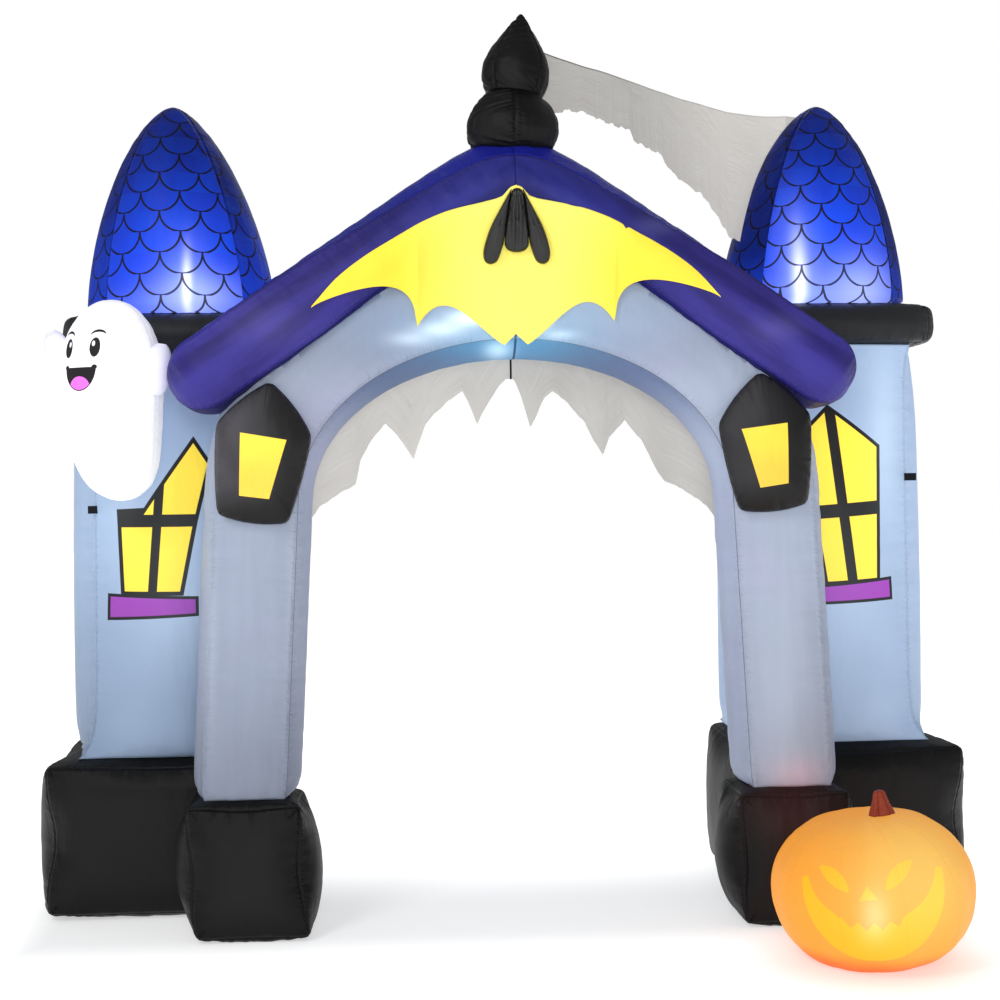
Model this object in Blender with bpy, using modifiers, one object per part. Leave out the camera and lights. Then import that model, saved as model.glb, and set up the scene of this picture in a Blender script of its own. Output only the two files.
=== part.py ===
"""Walk-through inflatable arch: two towers, a front arch under an A-shaped roof, and sewn-on figures.

Metres, +Z up, the front faces -Y, and the origin is the middle of the footprint on the ground.
Every air chamber and every sewn piece is one closed solid.  Depths are measured back from the
front plane of the front bases.  "left" and "right" are as seen from the front.
"""
import math

import bmesh
import bpy
from mathutils import Matrix, Vector
from mathutils.bvhtree import BVHTree

GAP = 0.0003                # clearance between two pieces that press on each other
SEAM_GAP = GAP / 2          # what each of two meeting chambers gives up

# depths behind the front plane of the front bases
PUMPKIN_REACH = 0.625       # how far the pumpkin stands in front of that plane
REAR_FACE = 1.045           # back of the rear bases
FRONT_Y = (PUMPKIN_REACH - REAR_FACE) / 2
BASE_MEET = 0.320           # where front and rear bases press together

# bases: swell is at the sides, end_swell at front and back; pinch draws the corners in
FRONT_BASE = dict(x=0.812, width=0.335, height=0.410, swell=0.050, end_swell=0.032, pinch=0.055)
REAR_BASE = dict(x=1.084, width=0.712, height=0.490, swell=0.055, end_swell=0.030, pinch=0.060)
BASE_TOP_SWELL = 0.030      # swelling that the ground and the chamber above press flat
BASE_EASE = 0.005           # how far the top and bottom seams lie inside the pressed faces

# towers, their bands and their cone roofs
TOWER_X, TOWER_DEPTH = 1.052, 0.685
TOWER_TOP = 1.735
BAND = dict(x=1.045, width=0.570, swell=0.085, top=1.872)
CONE = dict(x=1.036, half=0.240, swell=0.27, height=0.690, lean=0.024)

# front arch: an ellipse over two legs that splay outwards to their feet
SPRING_Z = 1.270            # height where the leg turns into the crown
SPRING_X = 0.7660           # centre line of a leg at that height
FOOT_X = 0.8120             # centre line of a leg at its foot
CROWN_RISE = 0.640          # centre line's rise from the spring to the top
LEG_HALF = 0.1215           # half the width between a leg's seams
CROWN_HALF = 0.158          # the same at the top of the crown
LEG_SWELL, CROWN_SWELL = 0.039, 0.054
ARCH_FRONT, ARCH_BACK = 0.062, 0.290
ARCH_FACE_SWELL = 0.024

# roof arms: a hyperbola, rounded at the peak, with rounded ends
ROOF_SLOPE = 0.692
ROOF_TOP = 2.2880           # where the two straight arms would meet
ROOF_ROUND = 0.080
ROOF_END_X = 0.902
ROOF_HALF = 0.082
ROOF_SWELL = 0.039
ROOF_FRONT, ROOF_BACK = 0.002, 0.314
ROOF_FACE_SWELL = 0.030

LANTERN = dict(x=0.744, z=1.374, tilt=8.0, thick=0.120, sink=0.012)
FINIAL_SEAM_Z = 2.489
FINIAL_DEPTH = 0.160
GHOST = dict(x=-1.192, depth=0.235, z=1.590, tall=0.605, wide=0.325, deep=0.270, turn=-28.0)
PUMPKIN = dict(x=0.945, radius=0.273, deep=0.318, tall=0.432, lean=8.0, ribs=10)
BAT_THICK = 0.0016
GAUZE_THICK = 0.0012
VALANCE_DEPTH = 0.272
TAB = dict(width=0.024, out=0.036, root=0.050, half=0.004, thick=0.0025)

BLACK = (0.012, 0.012, 0.013, 1)
STONE = (0.42, 0.49, 0.68, 1)
COLOURS = {
    "base_black": BLACK, "stone_blue": STONE, "roof_indigo": (0.045, 0.030, 0.28, 1),
    "cone_blue": (0.02, 0.05, 0.62, 1), "bat_yellow": (0.95, 0.80, 0.10, 1),
    "gauze_grey": (0.42, 0.41, 0.40, 1), "ghost_white": (0.85, 0.85, 0.85, 1),
    "pumpkin_orange": (0.95, 0.26, 0.03, 1), "stem_brown": (0.20, 0.05, 0.02, 1),
}


# ---------------------------------------------------------------- scene and materials
for startup_object in list(bpy.data.objects):
    bpy.data.objects.remove(startup_object)

parts = bpy.data.collections.new("inflatable_arch")
cutters = bpy.data.collections.new("cutters")
for collection in (parts, cutters):
    bpy.context.scene.collection.children.link(collection)

frame = bpy.data.objects.new("inflatable_arch", None)
frame.location.y = FRONT_Y
parts.objects.link(frame)
bpy.context.view_layer.update()


def material(name):
    """One coloured coated fabric."""
    found = bpy.data.materials.get(name)
    if found:
        return found
    made = bpy.data.materials.new(name)
    made.use_nodes = True
    shader = made.node_tree.nodes["Principled BSDF"]
    shader.inputs["Base Color"].default_value = COLOURS[name]
    shader.inputs["Roughness"].default_value = 0.55
    shader.inputs["Metallic"].default_value = 0.0
    return made


def place(name, mesh, colour, location=(0, 0, 0), rotation=(0, 0, 0)):
    """Link one named piece of the arch, with its place inside the frame."""
    mesh.materials.append(material(colour))
    mesh.shade_smooth()
    mesh.set_sharp_from_angle(angle=math.radians(50))
    piece = bpy.data.objects.new(name, mesh)
    piece.parent = frame
    piece.location = location
    piece.rotation_euler = rotation
    parts.objects.link(piece)
    return piece


def finished_mesh(name, bm):
    """Turn a bmesh into a mesh with its faces pointing out."""
    bmesh.ops.recalc_face_normals(bm, faces=bm.faces)
    mesh = bpy.data.meshes.new(name)
    bm.to_mesh(mesh)
    bm.free()
    return mesh


def loft(name, rings, ends=("fan", "fan")):
    """Join closed rings of equal counts; each end is a fan to its middle or, at a tip, a point."""
    bm = bmesh.new()
    rows = [[bm.verts.new(point) for point in ring] for ring in rings]
    for low, high in zip(rows, rows[1:]):
        for i in range(len(low)):
            j = (i + 1) % len(low)
            bm.faces.new((low[i], low[j], high[j], high[i]))
    for row, end in ((rows[0], ends[0]), (rows[-1], ends[1])):
        middle = sum((v.co for v in row), Vector()) / len(row)
        tip = bm.verts.new(middle if end == "fan" else end)
        for i in range(len(row)):
            bm.faces.new((row[i], row[(i + 1) % len(row)], tip))
    return finished_mesh(name, bm)


# ---------------------------------------------------------------- cutting pieces to their seats
def grown_copy(piece, margin):
    """A wire copy of a piece, larger all round by the margin, to cut a neighbour's seat with."""
    bpy.context.view_layer.update()
    seen = piece.evaluated_get(bpy.context.evaluated_depsgraph_get())
    mesh = bpy.data.meshes.new_from_object(seen)
    mesh.transform(piece.matrix_world)
    bm = bmesh.new()
    bm.from_mesh(mesh)
    bm.normal_update()
    moves = [v.normal * margin * v.calc_shell_factor() for v in bm.verts]
    for vertex, move in zip(bm.verts, moves):
        vertex.co += move
    bm.to_mesh(mesh)
    bm.free()
    cutter = bpy.data.objects.new(piece.name + "_cutter", mesh)
    cutter.hide_render = True
    cutter.display_type = "WIRE"
    cutters.objects.link(cutter)
    return cutter


def seat(piece, *neighbours, margin=GAP):
    """Cut the neighbours' shapes out of a piece, so that it presses on them all along."""
    for neighbour in neighbours:
        cut = piece.modifiers.new("seat_on_" + neighbour.name, "BOOLEAN")
        cut.operation = "DIFFERENCE"
        cut.solver = "EXACT"
        cut.object = grown_copy(neighbour, margin)


# ---------------------------------------------------------------- inflated boxes
def air_box(name, low, high, swell, cuts, pinch=0.06, flat=None):
    """A sewn box blown up: each panel swells in its middle and the corners draw in.

    swell gives the panels' swelling along x, y and z; flat maps "x", "y" or "z" to the limits
    where the box presses on a flat neighbour or on the ground.
    """
    bm = bmesh.new()
    bmesh.ops.create_cube(bm, size=2)
    for axis in range(3):
        along = [e for e in bm.edges
                 if abs(e.verts[0].co[axis] - e.verts[1].co[axis]) > 1.9]
        bmesh.ops.subdivide_edges(bm, edges=along, cuts=cuts[axis] - 1, use_grid_fill=True)
    middle = [(a + b) / 2 for a, b in zip(low, high)]
    half = [(b - a) / 2 for a, b in zip(low, high)]
    for vertex in bm.verts:
        unit = vertex.co.copy()
        for axis in range(3):
            other, third = unit[(axis + 1) % 3], unit[(axis + 2) % 3]
            drawn = 1 - pinch * (other * third) ** 2
            blown = swell[axis] * (1 - other ** 2) * (1 - third ** 2)
            vertex.co[axis] = middle[axis] + unit[axis] * (half[axis] * drawn + blown)
        for axis, letter in enumerate("xyz"):
            least, most = (flat or {}).get(letter, (-9, 9))
            vertex.co[axis] = min(max(vertex.co[axis], least), most)
    return finished_mesh(name, bm)


def side_box(side, spec, front, back, bottom, top, **options):
    """An air box whose middle lies at spec["x"] to one side of the arch."""
    middle = side * spec["x"]
    half = spec["width"] / 2
    return air_box(low=(middle - half, front, bottom), high=(middle + half, back, top), **options)


def base(name, side, spec, seams, limits):
    """A low box between its front and back seams, pressed flat at the limits and on the ground."""
    mesh = side_box(side, spec, *seams, BASE_EASE, spec["height"] - BASE_EASE, name=name,
                    swell=(spec["swell"], spec["end_swell"], BASE_TOP_SWELL), cuts=(6, 6, 6),
                    pinch=spec["pinch"], flat={"y": limits, "z": (0, spec["height"])})
    return place(name, mesh, "base_black")


def front_base(name, side):
    return base(name, side, FRONT_BASE, (0.015, BASE_MEET - 0.010), (-9, BASE_MEET - SEAM_GAP))


def rear_base(name, side):
    return base(name, side, REAR_BASE, (BASE_MEET + 0.008, REAR_FACE - 0.030),
                (BASE_MEET + SEAM_GAP, REAR_FACE))


def band(name, side):
    """The black band round a tower's top."""
    swell, half = BAND["swell"], BAND["width"] / 2
    under = TOWER_TOP + GAP
    mesh = side_box(side, BAND, TOWER_DEPTH - half, TOWER_DEPTH + half, under - 0.001,
                    BAND["top"] + 0.001, name=name, swell=(swell, 0.050, 0.012), cuts=(7, 7, 4),
                    pinch=0.03, flat={"z": (under, BAND["top"])})
    return place(name, mesh, "base_black")


# ---------------------------------------------------------------- box sections along a path
def section(across, depth, swell_across, swell_depth, count=6):
    """Points of a blown-up box section, as (across, depth) pairs with corners at the seams."""
    steps = [-1 + 2 * i / count for i in range(count)]
    square = [(t, -1) for t in steps] + [(1, t) for t in steps]
    square += [(-t, 1) for t in steps] + [(-1, -t) for t in steps]
    return [(u * (across + swell_across * (1 - v * v)), v * (depth + swell_depth * (1 - u * u)))
            for u, v in square]


def ring_on_path(side, centre, heading, points, middle_depth):
    """Stand a section on a path in the front plane; heading is the path's angle."""
    outward = Vector((-math.sin(heading), 0, math.cos(heading)))
    ring = []
    for across, depth in points:
        spot = Vector((centre[0], 0, centre[1])) + outward * across
        ring.append((side * max(spot.x, SEAM_GAP), middle_depth + depth, spot.z))
    return ring


def arch_path():
    """Stations down one half of the arch: (x, z, heading, half width, swell)."""
    stations = []
    crown_steps, leg_steps = 14, 9
    for i in range(crown_steps):
        turn = math.pi / 2 * (1 - i / crown_steps)
        x, z = SPRING_X * math.cos(turn), SPRING_Z + CROWN_RISE * math.sin(turn)
        heading = math.atan2(-CROWN_RISE * math.cos(turn), SPRING_X * math.sin(turn))
        grow = math.sin(turn) ** 2
        swell = LEG_SWELL + (CROWN_SWELL - LEG_SWELL) * grow
        stations.append((x, z, heading, LEG_HALF + (CROWN_HALF - LEG_HALF) * grow, swell))
    foot_z = FRONT_BASE["height"] + GAP
    splay = math.atan2(FOOT_X - SPRING_X, SPRING_Z - foot_z)
    for i in range(leg_steps + 1):
        down = (i / leg_steps) ** 0.85
        z = SPRING_Z + (foot_z - SPRING_Z) * down
        x = SPRING_X + (FOOT_X - SPRING_X) * down
        blend = min(1.0, 3 * i / leg_steps)
        full = math.sqrt(max(0.0, 1 - max(0.0, (i - leg_steps + 2) / 2) ** 2)) * 0.9 + 0.1
        heading = -math.pi / 2 + splay * blend * (i < leg_steps)
        stations.append((x, z, heading, LEG_HALF, LEG_SWELL * full))
    return stations


def arch_half(name, side):
    middle = (ARCH_FRONT + ARCH_BACK) / 2
    half_depth = (ARCH_BACK - ARCH_FRONT) / 2
    rings = []
    for x, z, heading, half, swell in arch_path():
        face_swell = ARCH_FACE_SWELL * min(1, swell / LEG_SWELL)
        points = section(half, half_depth, swell, face_swell)
        rings.append(ring_on_path(side, (x, z), heading, points, middle))
    return place(name, loft(name, rings), "stone_blue")


def roof_line(x):
    """Height and heading of the roof arms' centre line."""
    reach = math.hypot(x, ROOF_ROUND)
    return ROOF_TOP - ROOF_SLOPE * reach, math.atan(-ROOF_SLOPE * x / reach)


def roof_half(name, side):
    middle = (ROOF_FRONT + ROOF_BACK) / 2
    half_depth = (ROOF_BACK - ROOF_FRONT) / 2
    rings = []
    steps = 15
    for i in range(steps + 1):
        x = ROOF_END_X * (i / steps) ** 1.05
        z, heading = roof_line(x)
        points = section(ROOF_HALF, half_depth, ROOF_SWELL, ROOF_FACE_SWELL)
        rings.append(ring_on_path(side, (x, z), heading, points, middle))
    end_z, heading = roof_line(ROOF_END_X)
    along = Vector((math.cos(heading), math.sin(heading)))
    full = ROOF_HALF + ROOF_SWELL
    for turn in (22, 42, 60, 75, 85):
        reach = full * math.sin(math.radians(turn))
        keep = math.cos(math.radians(turn))
        centre = (ROOF_END_X + along.x * reach, end_z + along.y * reach)
        points = section(ROOF_HALF * keep, half_depth * (0.35 + 0.65 * keep),
                         ROOF_SWELL * keep, ROOF_FACE_SWELL * keep)
        rings.append(ring_on_path(side, centre, heading, points, middle))
    return place(name, loft(name, rings), "roof_indigo")


# ---------------------------------------------------------------- towers
# (share of the height, half the width between the seams, swelling of the panels)
TOWER_ROWS = ((0.00, 0.272, 0.004), (0.02, 0.268, 0.024), (0.06, 0.256, 0.056), (0.12, 0.242, 0.084),
              (0.22, 0.234, 0.098), (0.40, 0.232, 0.102), (0.60, 0.230, 0.100), (0.78, 0.229, 0.096),
              (0.90, 0.231, 0.082), (0.96, 0.238, 0.060), (1.00, 0.246, 0.030))


def tower(name, side):
    """A square-footed tower whose four panels swell nearly round between its seams."""
    foot = REAR_BASE["height"] + GAP
    rings = [[(side * TOWER_X + a, TOWER_DEPTH + b, foot + (TOWER_TOP - foot) * share)
              for a, b in section(half, half, swell, swell)] for share, half, swell in TOWER_ROWS]
    return place(name, loft(name, rings), "stone_blue")


# ---------------------------------------------------------------- cones and finial
def cone(name, side):
    """A bullet of four gores: a blown-up square section that narrows to a tip."""
    rings = []
    foot = BAND["top"] + GAP
    rises = (0.0, 0.03, 0.12, 0.24, 0.36, 0.48, 0.60, 0.71, 0.81, 0.89, 0.95, 0.985)
    for rise in rises:
        half = CONE["half"] * (1 - rise ** 1.6) ** 0.62
        swell = CONE["swell"] * half * (0.55 if rise == 0 else 1)
        middle_x = side * (CONE["x"] + CONE["lean"] * rise)
        rings.append([(middle_x + a, TOWER_DEPTH + b, foot + CONE["height"] * rise)
                      for a, b in section(half, half, swell, swell, count=6)])
    tip = (side * (CONE["x"] + CONE["lean"]), TOWER_DEPTH, foot + CONE["height"])
    return place(name, loft(name, rings, ("fan", tip)), "cone_blue")


def turned(name, profile, steps, colour, location, rotation=(0, 0, 0)):
    """A turned shape from (radius, height) rows, top to bottom, on its own axis."""
    bm = bmesh.new()
    chain = [bm.verts.new((radius, 0, height)) for radius, height in profile]
    for upper, lower in zip(chain, chain[1:]):
        bm.edges.new((upper, lower))
    mesh = bpy.data.meshes.new(name)
    bm.to_mesh(mesh)
    bm.free()
    piece = place(name, mesh, colour, location, rotation)
    screw = piece.modifiers.new("turn", "SCREW")
    screw.steps = steps
    screw.render_steps = steps
    screw.use_merge_vertices = True
    screw.merge_threshold = 0.0001
    screw.use_normal_calculate = False
    return piece


def finial():
    upper_rows = ((0.000, 0.243), (0.009, 0.232), (0.022, 0.205), (0.042, 0.172), (0.066, 0.140),
                  (0.088, 0.108), (0.099, 0.078), (0.098, 0.048), (0.090, 0.020), (0.080, 0.000),
                  (0.000, 0.000))
    upper = turned("finial_upper", upper_rows, 24, "base_black",
                   (0.011, FINIAL_DEPTH, FINIAL_SEAM_Z + GAP), (0, math.radians(6.0), 0))
    lower_rows = ((0.000, 0.000), (0.080, 0.000), (0.104, -0.020), (0.126, -0.050),
                  (0.138, -0.085), (0.138, -0.120), (0.126, -0.160), (0.095, -0.190),
                  (0.000, -0.200))
    lower = turned("finial_lower", lower_rows, 24, "base_black",
                   (0.006, FINIAL_DEPTH, FINIAL_SEAM_Z))
    return upper, lower


# ---------------------------------------------------------------- pillows sewn on a face
def pillow(name, outline, thick, colour, location, rotation=(0, 0, 0)):
    """A pillow in the XZ plane from an outline round its middle, fullest half way in."""
    rows = ((0.34, 1.00), (0.62, 0.93), (0.84, 0.72), (0.95, 0.42), (1.00, 0.0))
    front = [[(x * s, -thick / 2 * h, z * s) for x, z in outline] for s, h in rows]
    back = [[(x, -y, z) for x, y, z in ring] for ring in reversed(front[:-1])]
    tips = (0, -thick / 2 * 1.02, 0), (0, thick / 2 * 1.02, 0)
    return place(name, loft(name, front + back, tips), colour, location, rotation)


def along_outline(corners, per_side):
    """Even points along a closed outline of straight sides."""
    points = []
    for (x0, z0), (x1, z1) in zip(corners, corners[1:] + corners[:1]):
        points += [(x0 + (x1 - x0) * i / per_side, z0 + (z1 - z0) * i / per_side)
                   for i in range(per_side)]
    return points


def lantern(name, side, leg):
    half_top, half_foot, body, peak = 0.139, 0.100, 0.145, 0.258
    corners = [(-half_foot, -body), (half_foot, -body), (half_top, 0.108), (0.012, peak - 0.006),
               (-0.012, peak - 0.006), (-half_top, 0.108)]
    outline = [(side * x, z) for x, z in along_outline(corners, 3)]
    reach = ARCH_FRONT - ARCH_FACE_SWELL + LANTERN["sink"]
    piece = pillow(name, outline, LANTERN["thick"], "base_black",
                   (side * LANTERN["x"], reach - LANTERN["thick"] / 4, LANTERN["z"]),
                   (0, math.radians(-side * LANTERN["tilt"]), 0))
    seat(piece, leg)
    return piece


# ---------------------------------------------------------------- sheets
def between(rows, x):
    """Straight-line reading of a table of (x, value) rows."""
    for (x0, a), (x1, b) in zip(rows, rows[1:]):
        if x <= x1:
            return a + (b - a) * (x - x0) / (x1 - x0)
    return rows[-1][1]


def cloth(name, columns, thick, colour):
    """A cloth from columns of points, each from its lower to its upper edge."""
    bm = bmesh.new()
    grid = [[bm.verts.new(point) for point in column] for column in columns]
    for near, far in zip(grid, grid[1:]):
        for i in range(len(near) - 1):
            bm.faces.new((near[i], far[i], far[i + 1], near[i + 1]))
    mesh = bpy.data.meshes.new(name)
    bm.to_mesh(mesh)
    bm.free()
    piece = place(name, mesh, colour)
    solid = piece.modifiers.new("thickness", "SOLIDIFY")
    solid.thickness = thick
    solid.offset = 0
    solid.use_even_offset = True
    return piece


# half outline of the bat: (across, height) rows of its upper and lower edges
BAT_UPPER = ((0.000, 2.176), (0.035, 2.156), (0.100, 2.140), (0.185, 2.122), (0.265, 2.092),
             (0.350, 2.046), (0.440, 1.993), (0.520, 1.933), (0.594, 1.852))
BAT_LOWER = ((0.000, 1.768), (0.034, 1.734), (0.075, 1.778), (0.115, 1.812), (0.165, 1.838),
             (0.215, 1.832), (0.262, 1.812), (0.293, 1.783), (0.308, 1.846), (0.345, 1.896),
             (0.405, 1.915), (0.465, 1.908), (0.530, 1.882), (0.594, 1.849))


def stretched_over(names, columns, clear):
    """Rest a grid of (x, z) columns on the front of some pieces as a taut membrane."""
    bpy.context.view_layer.update()
    graph = bpy.context.evaluated_depsgraph_get()
    trees = [BVHTree.FromObject(bpy.data.objects[name], graph) for name in names]
    ahead, back = Vector((0, -1, 0)), Vector((0, 1, 0))

    def hit(x, z):
        spots = [Vector((x + 0.013 * i, 0, z + 0.010 * j)) for i in (-2, -1, 0, 1, 2)
                 for j in (-2, -1, 0, 1, 2)]
        depths = [tree.ray_cast(spot + ahead, back)[0] for tree in trees for spot in spots]
        return min((d.y for d in depths if d), default=ROOF_BACK)

    wall = [[hit(x, z) - clear for x, z in column] for column in columns]
    depth = [row[:] for row in wall]
    last = len(columns) - 1
    for _ in range(160):
        for i, column in enumerate(columns):
            for j in range(len(column)):
                if j == len(column) - 1 or i in (0, last):
                    continue
                under = depth[i][max(j - 1, 0)]
                mean = (depth[i - 1][j] + depth[i + 1][j] + under + depth[i][j + 1]) / 4
                depth[i][j] = min(wall[i][j], mean)
    return [[(x, depth[i][j], z) for j, (x, z) in enumerate(column)]
            for i, column in enumerate(columns)]


def bat():
    across = sorted({x for x, _ in BAT_LOWER} | {0.017, 0.055, 0.140, 0.240, 0.375, 0.435, 0.498,
                                                 0.560})
    whole = [-x for x in reversed(across[1:])] + across
    rows = 8
    columns = []
    for x in whole:
        low, high = between(BAT_LOWER, abs(x)), between(BAT_UPPER, abs(x))
        columns.append([(x, low + (high - low) * j / rows) for j in range(rows + 1)])
    names = ("roof_left", "roof_right", "arch_left", "arch_right")
    points = stretched_over(names, columns, BAT_THICK / 2 + 2 * GAP)
    return cloth("bat", points, BAT_THICK, "bat_yellow"), points


def depth_on(points, x, z):
    """Depth of a cloth's middle surface at one place, read from its columns."""
    near, far = next(pair for pair in zip(points, points[1:]) if pair[1][0][0] >= x)
    low, high = [between([(p[2], p[1]) for p in column], z) for column in (near, far)]
    return low + (high - low) * (x - near[0][0]) / (far[0][0] - near[0][0])


def pad(name, top_x, foot_x, foot_z, half, points):
    """One long black pad sewn on the bat, narrow at the top and round at the foot."""
    top, foot, thick = Vector((top_x, 2.166)), Vector((foot_x, foot_z)), 0.022
    middle, along = (top + foot) / 2, (top - foot) / 2
    beside = Vector((along.y, -along.x)).normalized()
    outline = []
    count = 18
    for i in range(count):
        turn = 2 * math.pi * i / count
        width = half * (1 - 0.45 * (math.sin(turn) + 1) / 2)
        outline.append(along * math.sin(turn) + beside * width * math.cos(turn))
    seam = BAT_THICK / 2 + 2 * GAP

    def ring(share, fullness):
        spots = [middle + spot * share for spot in outline]
        return [(p.x, depth_on(points, p.x, p.y) - seam - thick * fullness, p.y) for p in spots]

    rings = [ring(share, 0) for share in (0.35, 0.70, 1.00)]
    rings += [ring(share, full) for share, full in ((0.96, 0.40), (0.84, 0.72), (0.60, 0.94),
                                                    (0.30, 1.00))]
    tips = [(middle.x, depth_on(points, *middle) - seam - out, middle.y) for out in (0, thick)]
    return place(name, loft(name, rings, tips), "base_black")


# gauze between finial and right cone: (share of the way, top edge height, lower edge height)
GAUZE_ROWS = ((-0.02, 2.640, 2.440), (0.08, 2.616, 2.446), (0.15, 2.604, 2.458),
              (0.21, 2.594, 2.456), (0.25, 2.587, 2.440), (0.36, 2.563, 2.420),
              (0.38, 2.559, 2.392), (0.48, 2.543, 2.358), (0.505, 2.540, 2.322),
              (0.535, 2.536, 2.300), (0.56, 2.533, 2.268), (0.65, 2.524, 2.238),
              (0.68, 2.520, 2.194), (0.72, 2.515, 2.156), (0.77, 2.510, 2.114),
              (0.88, 2.508, 2.090), (1.00, 2.508, 2.070))


def gauze_top(finials, right_cone):
    """Torn gauze slung from the finial to the right cone, cut to both."""
    start, end = Vector((0.060, FINIAL_DEPTH)), Vector((0.960, TOWER_DEPTH - 0.045))
    columns = []
    for share, top, low in GAUZE_ROWS:
        spot = start.lerp(end, share)
        belly = 0.030 * math.sin(math.pi * share)
        columns.append([(spot.x, spot.y - belly * (1 - j / 4), low + (top - low) * j / 4)
                        for j in range(5)])
    piece = cloth("gauze_top", columns, GAUZE_THICK, "gauze_grey")
    seat(piece, *finials, right_cone, margin=GAP)
    return piece


# half of the ragged valance in the arch: (across, lower edge height) rows
VALANCE_LOWER = ((0.004, 1.640), (0.030, 1.590), (0.058, 1.545), (0.082, 1.500), (0.098, 1.548),
                 (0.132, 1.602), (0.175, 1.566), (0.238, 1.512), (0.262, 1.462), (0.288, 1.408),
                 (0.318, 1.470), (0.362, 1.512), (0.410, 1.430), (0.466, 1.342), (0.530, 1.300),
                 (0.600, 1.262), (0.625, 1.215))


def crown_inner(x):
    """Height of the soffit's seams above a place in the doorway."""
    wide, rise = SPRING_X - LEG_HALF, CROWN_RISE - CROWN_HALF
    return SPRING_Z + rise * math.sqrt(max(0.0, 1 - (x / wide) ** 2))


def valance(name, side, arch_piece):
    """Ragged gauze that hangs inside the arch, sewn along the soffit."""
    columns = []
    for x, low in VALANCE_LOWER:
        top = max(crown_inner(x), low + 0.040) + 0.004
        depth = VALANCE_DEPTH
        columns.append([(side * x, depth + 0.006 * math.sin(40 * x) * (1 - j / 4),
                         low + (top - low) * j / 4) for j in range(5)])
    piece = cloth(name, columns, GAUZE_THICK, "gauze_grey")
    seat(piece, arch_piece)
    return piece


def valance_tie(arch_pieces):
    """The black tape that hangs from the soffit's middle between the two halves of the valance."""
    bm = bmesh.new()
    bmesh.ops.create_cube(bm, size=1)
    size = Vector((0.0066, 0.0020, 0.120))
    for vertex in bm.verts:
        vertex.co = Vector(a * b for a, b in zip(vertex.co, size))
    piece = place("valance_tie", finished_mesh("valance_tie", bm), "base_black",
                  (0, VALANCE_DEPTH, 1.645 + size.z / 2))
    seat(piece, *arch_pieces)
    return piece


# ---------------------------------------------------------------- ghost
def rounded_body(levels, count, bend):
    """Rings of an upright soft figure from (height, half width, half depth) rows."""
    rings = []
    for height, wide, deep in levels:
        shift = bend(height)
        rings.append([(shift + wide * math.cos(2 * math.pi * i / count),
                       deep * math.sin(2 * math.pi * i / count), height)
                      for i in range(count)])
    return rings


def ghost(left_tower, left_roof):
    """A plump ghost with two stub arms, pressed on the left tower's front and the roof's end."""
    tall, wide, deep = GHOST["tall"] / 2, GHOST["wide"] / 2, GHOST["deep"] / 2
    shape = ((-0.985, 0.20), (-0.93, 0.42), (-0.82, 0.64), (-0.64, 0.80), (-0.40, 0.90),
             (-0.12, 0.97), (0.18, 1.00), (0.46, 0.95), (0.68, 0.82), (0.84, 0.62),
             (0.94, 0.40), (0.985, 0.19))
    levels = [(h * tall, w * wide, w * deep) for h, w in shape]

    def bend(height):
        return -0.012 + 0.030 * max(0.0, -height / tall) ** 1.5

    rings = rounded_body(levels, 22, bend)
    tips = (bend(-tall), 0, -tall), (bend(tall), 0, tall)
    turn = math.radians(GHOST["turn"])
    spot = (GHOST["x"], GHOST["depth"], GHOST["z"])
    body = place("ghost_body", loft("ghost_body", rings, tips), "ghost_white", spot, (0, 0, turn))
    seat(body, left_tower)
    arm_rows = (("ghost_arm_left", -0.190, 0.140, 20), ("ghost_arm_right", 0.188, 0.085, 10))
    for name, out, up, pitch in arm_rows:
        arm_levels = [(h * 0.080, w * 0.042, w * 0.040)
                      for h, w in ((-0.96, 0.45), (-0.75, 0.8), (-0.3, 1.0), (0.3, 0.92),
                                   (0.75, 0.66), (0.95, 0.34))]
        arm_rings = rounded_body(arm_levels, 12, lambda height: 0.0)
        heading = -math.copysign(math.radians(pitch), out)
        around = Matrix.Rotation(turn, 3, "Z") @ Vector((out * 0.93, -0.030, 0))
        place_at = (spot[0] + around.x, spot[1] + around.y, spot[2] + up)
        arm = place(name, loft(name, arm_rings, ((0, 0, -0.080), (0, 0, 0.080))), "ghost_white",
                    place_at, (0, -heading, 0))
        seat(arm, body, left_roof)


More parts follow.
